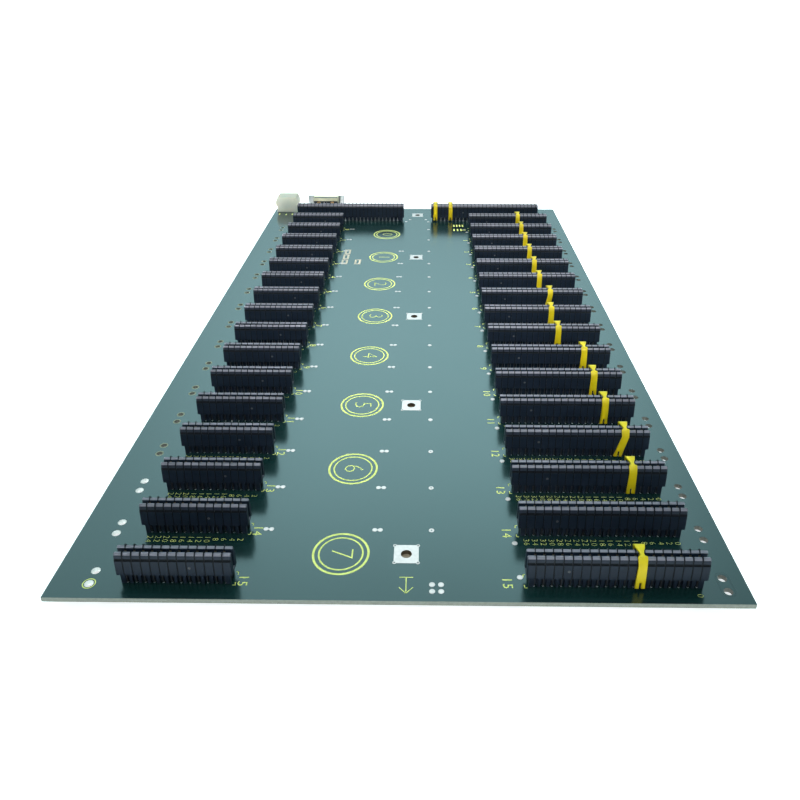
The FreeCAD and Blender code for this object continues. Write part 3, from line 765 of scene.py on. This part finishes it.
def spring(x, side, top):
    """A bowed strip of spring metal on one wall of the card slot."""
    drops = (top - SLOT_FLOOR, *SPRING_DROPS)
    deselect()
    bpy.ops.mesh.primitive_grid_add(x_subdivisions=1, y_subdivisions=len(SPRING_DROPS), size=1)
    piece = bpy.context.object
    lines = sorted({round(v.co.y, DIGITS) for v in piece.data.vertices})
    for vertex in piece.data.vertices:
        i = lines.index(round(vertex.co.y, DIGITS))
        across = SPRING_HALF if vertex.co.x > 0 else -SPRING_HALF
        vertex.co = (x + across, side * (CARD_HALF - SPRING_BULGES[i]), top - drops[i])
    return piece


def make_contacts(count, name, levels, tail_finish, pad):
    """Both rows of contacts of a connector, about the origin."""
    top, _, under = levels
    first = -(count - 1) / 2 * PITCH
    tails, joints, springs = [], [], []
    for side in (-1, 1):
        y = side * PIN_ROW
        tail = block((first - TAIL_HALF, y - TAIL_HALF, 0), (first + TAIL_HALF, y + TAIL_HALF, under))
        drop_faces(tail, is_level)
        tails.append(tail)
        joints.append(solder_cone((first, y, 0), *pad, TAIL_HALF))
        joints.append(solder_cone((first, y, board_low[2] - TOP), JOINT_R, -JOINT_RISE, TAIL_HALF))
        springs.append(spring(first, side, top))
    groups = []
    for parts, finish in ((tails, tail_finish), (joints, solder), (springs, shaded_bronze)):
        groups.append(join(parts, name))
        coat(groups[-1], finish)
    piece = join(groups, name)
    repeat_along_x(piece, count)
    return piece


# %% [markdown]
# ## Setting the connectors on the board
# One connector of each kind is modelled, then copied to every row with a mesh of its own. A small round
# gate mark from the mould shows on each front face.

# %% Model one of each kind
GATE_R = 0.75 * MM
GATE_TIP = 0.6
GATE_THICK = 0.12 * MM
GATE_PROUD = 0.03 * MM
GATE_SIDES = 12


def gate_mark(x, levels):
    """The round spot where the plastic entered the mould, halfway up the front face."""
    deselect()
    _, bevel, under = levels
    front = (UNDER_HALF + BEVEL_HALF) / 2 + GATE_PROUD
    bpy.ops.mesh.primitive_cone_add(vertices=GATE_SIDES, radius1=GATE_R, radius2=GATE_R * GATE_TIP,
                                    depth=GATE_THICK, location=(x, -front, (bevel + under) / 2),
                                    rotation=(math.pi / 2, 0, 0))
    return settle()


def make_connector(name, count, length, levels, gate):
    """A whole connector moulding about the origin, standing on the board's top."""
    foot = make_foot(count, length, levels[2])
    for part in foot:
        coat(part, moulding)
    mark = gate_mark(gate * length, levels)
    coat(mark, worn_spot)
    piece = join([make_walls(count, length, levels)] + foot + [mark], name)
    pick(piece)
    bpy.ops.object.shade_flat()
    return piece


def length_of(node):
    """How long a CAD node is along X."""
    low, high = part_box(node)
    return high[0] - low[0]


# The slot connectors' tails take the near-black tin, painted shade under the walls; the processor's tails
# stay light.
# The last number is the gate mark's place from the middle, as a share of the connector's length
kinds = [
    ("long", "long_connector_00", LONG_COUNT, SLOT_LEVELS, shaded_tin, SLOT_PAD, -0.27),
    ("short", "short_connector_00", SHORT_COUNT, SLOT_LEVELS, shaded_tin, SLOT_PAD, 0.14),
    ("processor", "processor_connector_left", PROCESSOR_COUNT, PROCESSOR_LEVELS, solder,
     PROCESSOR_PAD, -0.2),
]
patterns = {}
for kind, node, count, levels, tail_finish, pad, gate in kinds:
    housing = make_connector(kind + "_pattern", count, length_of(node), levels, gate)
    comb = make_contacts(count, kind + "_contacts", levels, tail_finish, pad)
    patterns[kind] = housing, comb
    print(kind, "housing faces", len(housing.data.polygons), "contact faces", len(comb.data.polygons))

# %% Copy them to their rows
def copy_to(pattern, name, place):
    """A copy of a pattern with its own mesh, moved to its place."""
    pick(pattern)
    bpy.ops.object.duplicate()
    bpy.context.object.name = name
    bpy.context.object.location = place
    return settle()


def belongs(piece, slot, *replaced):
    """Let a piece ride on the board and hide the CAD nodes that it stands for. The slot is not used."""
    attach(piece, "root")
    if replaced:
        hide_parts(*replaced)


def remove(*pieces):
    """Delete pieces that have done their work."""
    deselect()
    for piece in pieces:
        piece.select_set(True)
    bpy.ops.object.delete()


connector_nodes = [name for name in nodes if "_connector_" in name]
for name in connector_nodes:
    housing, comb = patterns[name.split("_")[0]]
    place = (middle(name)[0], middle(name)[1], TOP)
    belongs(copy_to(housing, name + "_moulding", place), "connector_moulding", name)
    belongs(copy_to(comb, name + "_contacts", place), "tinned_brass")
for housing, comb in patterns.values():
    remove(housing, comb)
print("connectors dressed:", len(connector_nodes))

# %% [markdown]
# ## Keying bands
# A yellow band is a strap of soft plastic. It starts as a loop round the end of its front leg, which is
# swept from station to station: up the front wall, round its shoulders, through a narrow neck over the card
# slot, and down behind the rear wall as a wide head. One cube cuts the fork of the leg, and another is the
# key in the card slot. Two bands sit askew, with the end of the leg to the left.

# %% Model the bands
LEG_END = 1.5 * MM
LEG_INNER_Y = -4.3 * MM
LEG_OUTER_Y = -5.2 * MM
LEG_HALF = 2.2 * MM
CROTCH = 4.7 * MM
FORK_HALF = 0.5 * MM
FORK_FRONT_Y = -6 * MM
FORK_BACK_Y = -3.5 * MM
FORK_LEAN = 0.87
KEY_HALF = 0.75 * MM
KEY_DEPTH = 4.6 * MM
KEY_RISE = 0.6 * MM
HEAD_HALF = 2.5 * MM
BAND_ROUND = 0.22 * MM
BAND_SHARP = math.radians(50)
ASKEW_FROM = 0.5 * MM
# Inner y and z, outer y and z, and half the width, in mm with z counted from the connector's top
STRAP = [
    (-4.0, -2.9, -4.9, -2.8, 1.85), (-3.4, -1.5, -4.1, -0.9, 1.95), (-2.7, -0.5, -3.1, 0.35, 2.15),
    (-2.3, 0.0, -2.5, 0.85, 1.95), (-2.0, 0.0, -2.0, 0.9, 0.95), (-0.6, 0.2, -0.6, 1.05, 0.85),
    (0.8, 0.35, 0.8, 1.25, 1.3), (2.2, 0.55, 2.2, 1.4, 2.0), (3.2, 0.7, 3.5, 1.6, 2.1),
    (4.0, 0.6, 4.6, 1.2, 2.5), (4.3, 0.2, 5.2, 0.5, 2.4), (4.3, -2.1, 5.2, -2.1, 2.0),
]


def strap_loop(inner_y, inner_z, outer_y, outer_z, half, shift=0.0):
    """The four corners of the strap at one station."""
    return [Vector((shift - half, inner_y, inner_z)), Vector((shift + half, inner_y, inner_z)),
            Vector((shift + half, outer_y, outer_z)), Vector((shift - half, outer_y, outer_z))]


def make_band(top, lean):
    """A band about the origin, with the end of its leg moved to the left by its lean."""
    loops = [strap_loop(LEG_INNER_Y, LEG_END, LEG_OUTER_Y, LEG_END, LEG_HALF, -lean)]
    for y0, z0, y1, z1, half in STRAP:
        loops.append(strap_loop(y0 * MM, top + z0 * MM, y1 * MM, top + z1 * MM, half * MM))
    band = start_loop(loops[0])
    sweep(band, loops)
    close_loop(band, loops[0])
    close_loop(band, loops[-1])
    clean(band)
    fork_x = -lean * FORK_LEAN
    fork = block((fork_x - FORK_HALF, FORK_FRONT_Y, 0), (fork_x + FORK_HALF, FORK_BACK_Y, CROTCH))
    key = block((-KEY_HALF, -KEY_HALF, top - KEY_DEPTH), (KEY_HALF, KEY_HALF, top + KEY_RISE))
    for tool, action in ((fork, "DIFFERENCE"), (key, "UNION")):
        add_modifier(band, "BOOLEAN", object=tool, operation=action, solver="EXACT")
        remove(tool)
    clean(band)
    add_modifier(band, "BEVEL", width=BAND_ROUND, segments=2, limit_method="ANGLE", angle_limit=BAND_SHARP)
    pick(band)
    bpy.ops.object.shade_smooth_by_angle(angle=BAND_SHARP)
    band.data.materials.append(yellow_plastic)
    return band


band_nodes = [name for name in nodes if "_band_" in name]
band_patterns = {}
for name in band_nodes:
    _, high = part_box(name)
    over_wide = length_of(name) - (HEAD_HALF + LEG_HALF)
    lean = round(over_wide, 5) if over_wide > ASKEW_FROM else 0.0
    on_slot = name.startswith("keying")
    carrier = "long_connector_" + name[-2:] if on_slot else "processor_connector_right"
    if (on_slot, lean) not in band_patterns:
        band_patterns[on_slot, lean] = make_band(height_of(carrier), lean)
    place = (high[0] - HEAD_HALF, middle(carrier)[1], TOP)
    belongs(copy_to(band_patterns[on_slot, lean], name + "_soft", place), "keying_band", name)
remove(*band_patterns.values())
print("bands:", len(band_nodes), "of", len(band_patterns), "shapes")

# %% [markdown]
# ## Printing on the board
# The board's legend is printed in yellow ink: a number for every other pin, a number for every slot, and a
# plain ring with a number at every second slot. Text is made at its size, turned to a mesh and laid flat.

# %% Numbers along the connectors
INK_Z = TOP + 0.02 * MM
CAP_SHARE = 0.69
THINNER = 0.026
FULL = 0.0
LETTER_SPACE = 1.15
CURVE_STEPS = 2
READ_TOWARDS = -math.pi / 2
PIN_CAP = 2.9 * MM
PIN_NUMBER_Y = -7.4 * MM
LABEL_CAP = 4.4 * MM
SHORT_LABEL_X = -72.2 * MM
LONG_LABEL_X = 47.6 * MM
LAST_LABEL_X = 44.9 * MM
LABEL_NEARER = 1.2 * MM


def print_text(words, cap, x, y, thinner=THINNER):
    """A flat word of ink that reads from the far end to the near end."""
    deselect()
    bpy.ops.object.text_add(location=(x, y, INK_Z), rotation=(0, 0, READ_TOWARDS))
    text = bpy.context.object.data
    text.body = words
    text.size = cap / CAP_SHARE
    text.align_x = "CENTER"
    text.align_y = "CENTER"
    text.resolution_u = CURVE_STEPS
    text.space_character = LETTER_SPACE
    text.offset = -thinner * text.size
    bpy.ops.object.convert(target="MESH")
    return settle()


def pin_numbers(count, first, name):
    """Every second pin number along a connector, with the first at the right."""
    words = [print_text(str(first + 2 * i), PIN_CAP, ((count - 1) / 2 - i) * PITCH, 0)
             for i in range(count)]
    return join(words, name)


long_numbers = pin_numbers(LONG_COUNT, 0, "long_numbers")
short_numbers = pin_numbers(SHORT_COUNT, 2, "short_numbers")
legend = []
for slot, row in enumerate(ROWS):
    label_x = LAST_LABEL_X
    if slot < SLOTS - 1:
        label_x = LONG_LABEL_X
        legend.append(copy_to(long_numbers, "numbers", (LONG_X, row + PIN_NUMBER_Y, 0)))
        legend.append(copy_to(short_numbers, "numbers", (SHORT_X, row + PIN_NUMBER_Y, 0)))
    for x in (SHORT_LABEL_X, label_x):
        legend.append(print_text(str(slot), LABEL_CAP, x, row - LABEL_NEARER, FULL))
legend.append(print_text("0", PIN_CAP, LONG_X + (LONG_COUNT - 1) / 2 * PITCH, near_row + PIN_NUMBER_Y))
remove(long_numbers, short_numbers)
numbers = join(legend, "slot_and_pin_numbers")
coat(numbers, ink)
belongs(numbers, None)
print("legend faces:", len(numbers.data.polygons))

# %% [markdown]
# The rings are flat circles, inset by the width of the line, with their middles deleted. The corner marks,
# the arrow and the marks for words at the far end are thin bars of ink.

# %% Rings, arrow and corner marks
RING_R = 13.4 * MM
INNER_R = 10.6 * MM
RING_LINE = 1.1 * MM
INNER_LINE = 0.77 * MM
RING_CAP = 11 * MM
RING_X = -30.4 * MM
RING_STEP = 63.5 * MM
RING_SIDES = 48
RINGS = 8
MARK_LINE = 0.4 * MM
CORNER_GAP = 0.4 * MM
CORNER = 1.5 * MM
CORNER_FOOT = 0.9 * MM
CORNER_Y = 3.9 * MM
GUIDE_X = -139.7 * MM
HALF_GUIDE = 3.8 * MM
GUIDE_RING_R = 2.95 * MM
GUIDE_RING_LINE = 0.45 * MM
GUIDE_SIDES = 24
# Bars in mm, from one end to the other; the arrow counts from the near row
ARROW = [(0.3, -7.6, 0.3, 1.6), (0.3, -7.6, -2.6, -4.4), (0.3, -7.6, 3.2, -4.4), (-2.6, 1.6, 3.2, 1.6)]
# Middles of the bars for words in mm, with their length and width
WORDS = [(38.2, 218.5), (41.2, 218.5), (44.2, 218.5), (47.2, 218.5),
         (38.0, 205.2), (41.6, 205.2), (45.0, 205.2)]
WORD_BAR = (5.0, 1.5)
HEADER_WORDS = [(-150.9, 256.0), (-143.4, 254.5), (-136.8, 255.5)]
HEADER_BAR = (3.0, 1.3)


def hollow(piece, line):
    """Keep only the rim of a flat piece, as wide as the line."""
    pick(piece)
    bpy.ops.object.mode_set(mode="EDIT")
    bpy.ops.mesh.select_all(action="SELECT")
    bpy.ops.mesh.inset(thickness=line)
    bpy.ops.mesh.delete(type="FACE")
    bpy.ops.object.mode_set(mode="OBJECT")
    return piece


def disc(x, y, z, radius, sides):
    """A flat round piece."""
    deselect()
    bpy.ops.mesh.primitive_circle_add(vertices=sides, radius=radius, fill_type="NGON", location=(x, y, z))
    return settle()


def ink_ring(x, y, radius, line, sides):
    """A flat ring of ink."""
    return hollow(disc(x, y, INK_Z, radius, sides), line)


def ink_bar(x0, y0, x1, y1, line):
    """A thin bar of ink between two points."""
    deselect()
    run = Vector((x1 - x0, y1 - y0))
    bpy.ops.mesh.primitive_plane_add(size=1, location=((x0 + x1) / 2, (y0 + y1) / 2, INK_Z),
                                     rotation=(0, 0, math.atan2(run.y, run.x)))
    bpy.context.object.scale = (run.length + line, line, 1)
    return settle()


marks = []
for i in range(RINGS):
    y = (i - RINGS / 2) * RING_STEP
    marks.append(ink_ring(RING_X, y, RING_R, RING_LINE, RING_SIDES))
    marks.append(ink_ring(RING_X, y, INNER_R, INNER_LINE, RING_SIDES))
    marks.append(print_text(str(RINGS - 1 - i), RING_CAP, RING_X, y))
for x0, y0, x1, y1 in ARROW:
    marks.append(ink_bar(x0 * MM, near_row + y0 * MM, x1 * MM, near_row + y1 * MM, MARK_LINE))
short_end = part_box("short_connector_00")[1][0] + CORNER_GAP
long_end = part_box("long_connector_00")[0][0] - CORNER_GAP
for row in ROWS:
    for x, inward in ((short_end, -1), (long_end, 1)):
        for side in (-1, 1):
            y = row + side * CORNER_Y
            marks.append(ink_bar(x, y, x, y - side * CORNER, MARK_LINE))
            marks.append(ink_bar(x, y, x + inward * CORNER_FOOT, y, MARK_LINE))
for places, (tall, line) in ((WORDS, WORD_BAR), (HEADER_WORDS, HEADER_BAR)):
    for x, y in places:
        marks.append(ink_bar(x * MM, (y - tall / 2) * MM, x * MM, (y + tall / 2) * MM, line * MM))
marks.append(ink_ring(GUIDE_X, near_row - HALF_GUIDE, GUIDE_RING_R, GUIDE_RING_LINE, GUIDE_SIDES))
print("rings:", RINGS, "marks:", len(marks))
printed = join(marks, "rings_and_marks")
coat(printed, ink)
belongs(printed, None)

# %% [markdown]
# Two faint stamps in tan ink lie beside the second ring from the far end, as open boxes. Round the nearest
# pair of guide holes on the right runs a thin dark line, made from a circle whose halves are drawn apart.
# Most guide holes at the left have a rim of bare laminate.

# %% Stamps and the rims of guide holes
STAMPS = [(-65.6, 114.5), (-65.4, 127.5), (-65.0, 140.5), (-53.6, 114.5)]
STAMP_WIDE = 5.6 * MM
STAMP_TALL = 11.5 * MM
STAMP_LINE = 1.7 * MM
RIGHT_GUIDE_X = 141.0 * MM
RIGHT_GUIDE_Y = near_row - 1.0 * MM
TRACE_R = 3.1 * MM
TRACE_LINE = 0.22 * MM
RIM_R = 2.35 * MM
RIM_LINE = 0.7 * MM
RIM_SIDES = 16
RIMMED_SLOTS = 13


def ink_frame(x, y, wide, tall, line):
    """An open box of ink."""
    deselect()
    bpy.ops.mesh.primitive_plane_add(size=1, location=(x, y, INK_Z))
    bpy.context.object.scale = (wide, tall, 1)
    return hollow(settle(), line)


stamps = [ink_frame(x * MM, y * MM, STAMP_WIDE, STAMP_TALL, STAMP_LINE) for x, y in STAMPS]
stamps = join(stamps, "tan_stamps")
trace = ink_ring(RIGHT_GUIDE_X, RIGHT_GUIDE_Y, TRACE_R, TRACE_LINE, GUIDE_SIDES)
trace.name = "guide_pair_line"
for vertex in trace.data.vertices:
    vertex.co.y += math.copysign(HALF_GUIDE, vertex.co.y - RIGHT_GUIDE_Y)
rims = [ink_ring(GUIDE_X, row + side * HALF_GUIDE, RIM_R, RIM_LINE, RIM_SIDES)
        for row in ROWS[:RIMMED_SLOTS] for side in (-1, 1)]
rims = join(rims, "guide_hole_rims")
for piece, finish in ((stamps, tan_ink), (trace, dark_trace), (rims, bare_rim)):
    coat(piece, finish)
    belongs(piece, None)
print("stamps:", len(STAMPS), "rimmed slots:", RIMMED_SLOTS)

# %% [markdown]
# ## Tinned pads and vias
# The square pads round the mounting holes and the small round vias are bare tinned copper. A pad is a thin
# plate with its hole cut by a Boolean, and its barrel, darkened as painted shade, runs down through the
# board. A via is a short cone with its top inset and pushed down, as solder settles.

# %% Mounting pads
PAD_SIDE = 11.5 * MM
PAD_THICK = 0.06 * MM
HOLE_R = 2.55 * MM
HOLE_SIDES = 32
DRILL_DEPTH = 10 * MM
BARREL_GAP = 0.04 * MM
MOUNT_STEP = 127 * MM
MOUNTS = 5
MOUNT_ROWS = [(i - MOUNTS // 2) * MOUNT_STEP for i in range(MOUNTS)]
CORNER_VIA = 5.4 * MM
CORNER_VIA_R = 0.95 * MM
DOT_SIDES = 12
DOT_TALL = 0.1 * MM
DOT_TOP = 0.9
DOT_INSET = 0.45
DOT_SINK = 0.03 * MM
LOOKS_UP = 0.9


def tin_dot(x, y, radius):
    """A settled bead of solder over a via."""
    deselect()
    bpy.ops.mesh.primitive_cone_add(vertices=DOT_SIDES, radius1=radius, radius2=radius * DOT_TOP,
                                    depth=DOT_TALL, location=(x, y, TOP + DOT_TALL / 2))
    piece = settle()
    drop_faces(piece, lambda face: face.normal.z < -LEVEL)
    select_faces(piece, lambda face: face.normal.z > LOOKS_UP)
    bpy.ops.mesh.inset(thickness=radius * DOT_INSET)
    bpy.ops.transform.translate(value=(0, 0, -DOT_SINK))
    bpy.ops.object.mode_set(mode="OBJECT")
    return piece


def pad_corners(y):
    """The places of a pad's four corner vias."""
    return [(sx * CORNER_VIA, y + sy * CORNER_VIA) for sx in (-1, 1) for sy in (-1, 1)]


def mount_pad(y):
    """A square tinned pad with its hole, its barrel and a via at each corner."""
    half = PAD_SIDE / 2
    plate = block((-half, y - half, TOP), (half, y + half, TOP + PAD_THICK))
    deselect()
    bpy.ops.mesh.primitive_cylinder_add(vertices=HOLE_SIDES, radius=HOLE_R, depth=DRILL_DEPTH,
                                        location=(0, y, TOP))
    drill = bpy.context.object
    add_modifier(plate, "BOOLEAN", operation="DIFFERENCE", object=drill, solver="EXACT")
    remove(drill)
    deselect()
    depth = TOP - board_low[2]
    bpy.ops.mesh.primitive_cylinder_add(vertices=HOLE_SIDES, radius=HOLE_R - BARREL_GAP, depth=depth,
                                        end_fill_type="NOTHING", location=(0, y, TOP - depth / 2))
    barrel = settle()
    bpy.ops.object.mode_set(mode="EDIT")
    bpy.ops.mesh.select_all(action="SELECT")
    bpy.ops.mesh.flip_normals()
    bpy.ops.object.mode_set(mode="OBJECT")
    coat(barrel, shaded_bronze)
    tinned = [plate] + [tin_dot(*corner, CORNER_VIA_R) for corner in pad_corners(y)]
    for part in tinned:
        coat(part, tin)
    return tinned + [barrel]


pads = join([part for y in MOUNT_ROWS for part in mount_pad(y)], "mounting_pads")
belongs(pads, "tinned_brass")
print("mounting pads:", MOUNTS)

# %% [markdown]
# Vias lie singly, in linked pairs and in one group of four. Those at the pads' corners and three of the
# single ones are open, and a dark disc of painted shade shows their mouths.

# %% Vias between the rows
VIA_R = 1.4 * MM
TWIN_R = 1.3 * MM
TWIN = 2.7 * MM
LINK = 0.9 * MM
SINGLE_X = 11.8 * MM
MID_TWIN_X = -14.3 * MM
SHORT_TWIN_X = -67.0 * MM
LONG_VIA_X = 51.0 * MM
LONG_VIA_NEARER = 8.2 * MM
LAST_VIA_FARTHER = 2.2 * MM
# In mm, the group counted along Y from the near row
GROUP = [(11.8, -2.5), (11.8, -6.4), (15.75, -2.5), (15.75, -6.4)]
FAR_PADS = [(-11.9, 231.6), (11.6, 231.0), (-7.9, 238.4), (8.9, 238.3), (48.2, 206.8)]
OPEN_VIA_SLOTS = (12, 13, 14)
OPEN_R = 0.4 * MM
OPEN_Z = TOP + 0.11 * MM
OPEN_SIDES = 10


def twin(x, y):
    """Two vias with a short link between them."""
    left, right = x - TWIN / 2, x + TWIN / 2
    return [tin_dot(left, y, TWIN_R), tin_dot(right, y, TWIN_R), ink_bar(left, y, right, y, LINK)]


vias = []
for slot, row in enumerate(ROWS[:-1]):
    vias += twin(SHORT_TWIN_X, row)
    vias.append(tin_dot(SINGLE_X, row, VIA_R))
    vias.append(tin_dot(LONG_VIA_X, row - LONG_VIA_NEARER, VIA_R))
    if slot > 1:
        vias += twin(MID_TWIN_X, row)
vias.append(tin_dot(LONG_VIA_X, near_row + LAST_VIA_FARTHER, VIA_R))
vias += [tin_dot(x * MM, near_row + y * MM, VIA_R) for x, y in GROUP]
vias += [tin_dot(x * MM, y * MM, VIA_R) for x, y in FAR_PADS]
vias = join(vias, "vias")
coat(vias, tin)
belongs(vias, "tinned_brass")
open_places = [(SINGLE_X, ROWS[slot]) for slot in OPEN_VIA_SLOTS]
open_places += [corner for y in MOUNT_ROWS for corner in pad_corners(y)]
mouths = join([disc(x, y, OPEN_Z, OPEN_R, OPEN_SIDES) for x, y in open_places], "open_vias")
coat(mouths, shaded_tin)
belongs(mouths, None)
print("via faces:", len(vias.data.polygons), "open vias:", len(open_places))

# %% [markdown]
# ## Sockets at the far end
# The nylon power header and the metal-shelled data connector start from their CAD solids. Loose triangles
# are merged into flat faces, the edges are rounded as a mould or a press leaves them, and each piece gets
# its own finish.

# %% Power header and data connector
CAD_MERGE = 0.001 * MM
FLAT_ANGLE = math.radians(1)
BEVEL_ANGLE = math.radians(25)
SMOOTH_ANGLE = math.radians(40)
# CAD node, radius of its rounding in mm, segments, finish and slot
SOCKET_PIECES = [
    ("power_header", 0.6, 3, nylon, "header_nylon"),
    ("power_pins", 0.3, 2, tin, "tinned_brass"),
    ("data_shell", 0.2, 2, nickel, "plated_shell"),
    ("data_rear_shell", 0.3, 2, zinc, "passivated_shell"),
    ("data_insulator", 0.2, 1, dark_block, "data_insulator"),
    ("data_power_contacts", 0.15, 1, gold, "gold_contact"),
    ("data_signal_pins", 0.1, 1, tin, "tinned_brass"),
    ("data_feet", 0.15, 1, nickel, "plated_shell"),
]


def soften(node, name, radius, segments):
    """A copy of a CAD node with rounded edges."""
    pick(nodes[node])
    bpy.ops.object.duplicate()
    bpy.ops.object.parent_clear(type="CLEAR_KEEP_TRANSFORM")
    piece = settle()
    piece.name = name
    bpy.ops.object.mode_set(mode="EDIT")
    bpy.ops.mesh.select_all(action="SELECT")
    bpy.ops.mesh.remove_doubles(threshold=CAD_MERGE)
    bpy.ops.mesh.dissolve_limited(angle_limit=FLAT_ANGLE)
    bpy.ops.object.mode_set(mode="OBJECT")
    add_modifier(piece, "BEVEL", width=radius, segments=segments, limit_method="ANGLE",
                 angle_limit=BEVEL_ANGLE)
    pick(piece)
    bpy.ops.object.shade_smooth_by_angle(angle=SMOOTH_ANGLE)
    return piece


for node, radius, segments, finish, slot_name in SOCKET_PIECES:
    piece = soften(node, node + "_rounded", radius * MM, segments)
    coat(piece, finish)
    belongs(piece, slot_name, node)
print("socket pieces:", len(SOCKET_PIECES))

# %% [markdown]
# A strip of the same passivated sheet closes the data connector's top behind its contacts.

# %% Strip behind the data connector
STRIP_TALL = 3.6 * MM
STRIP_THICK = 0.6 * MM
STRIP_INSET = 0.3 * MM
STRIP_DROP = 0.2 * MM
STRIP_ROUND = 0.2 * MM
shell_low, shell_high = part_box("data_rear_shell")
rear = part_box("data_insulator")[0][1]
strip = block((shell_low[0] + STRIP_INSET, rear - STRIP_THICK, shell_high[2] - STRIP_TALL),
              (shell_high[0] - STRIP_INSET, rear, shell_high[2] - STRIP_DROP))
add_modifier(strip, "BEVEL", width=STRIP_ROUND, segments=2)
strip.name = "data_top_strip"
coat(strip, zinc)
belongs(strip, "passivated_shell")
print("strip at", [round(v, 4) for v in (rear, shell_high[2])])
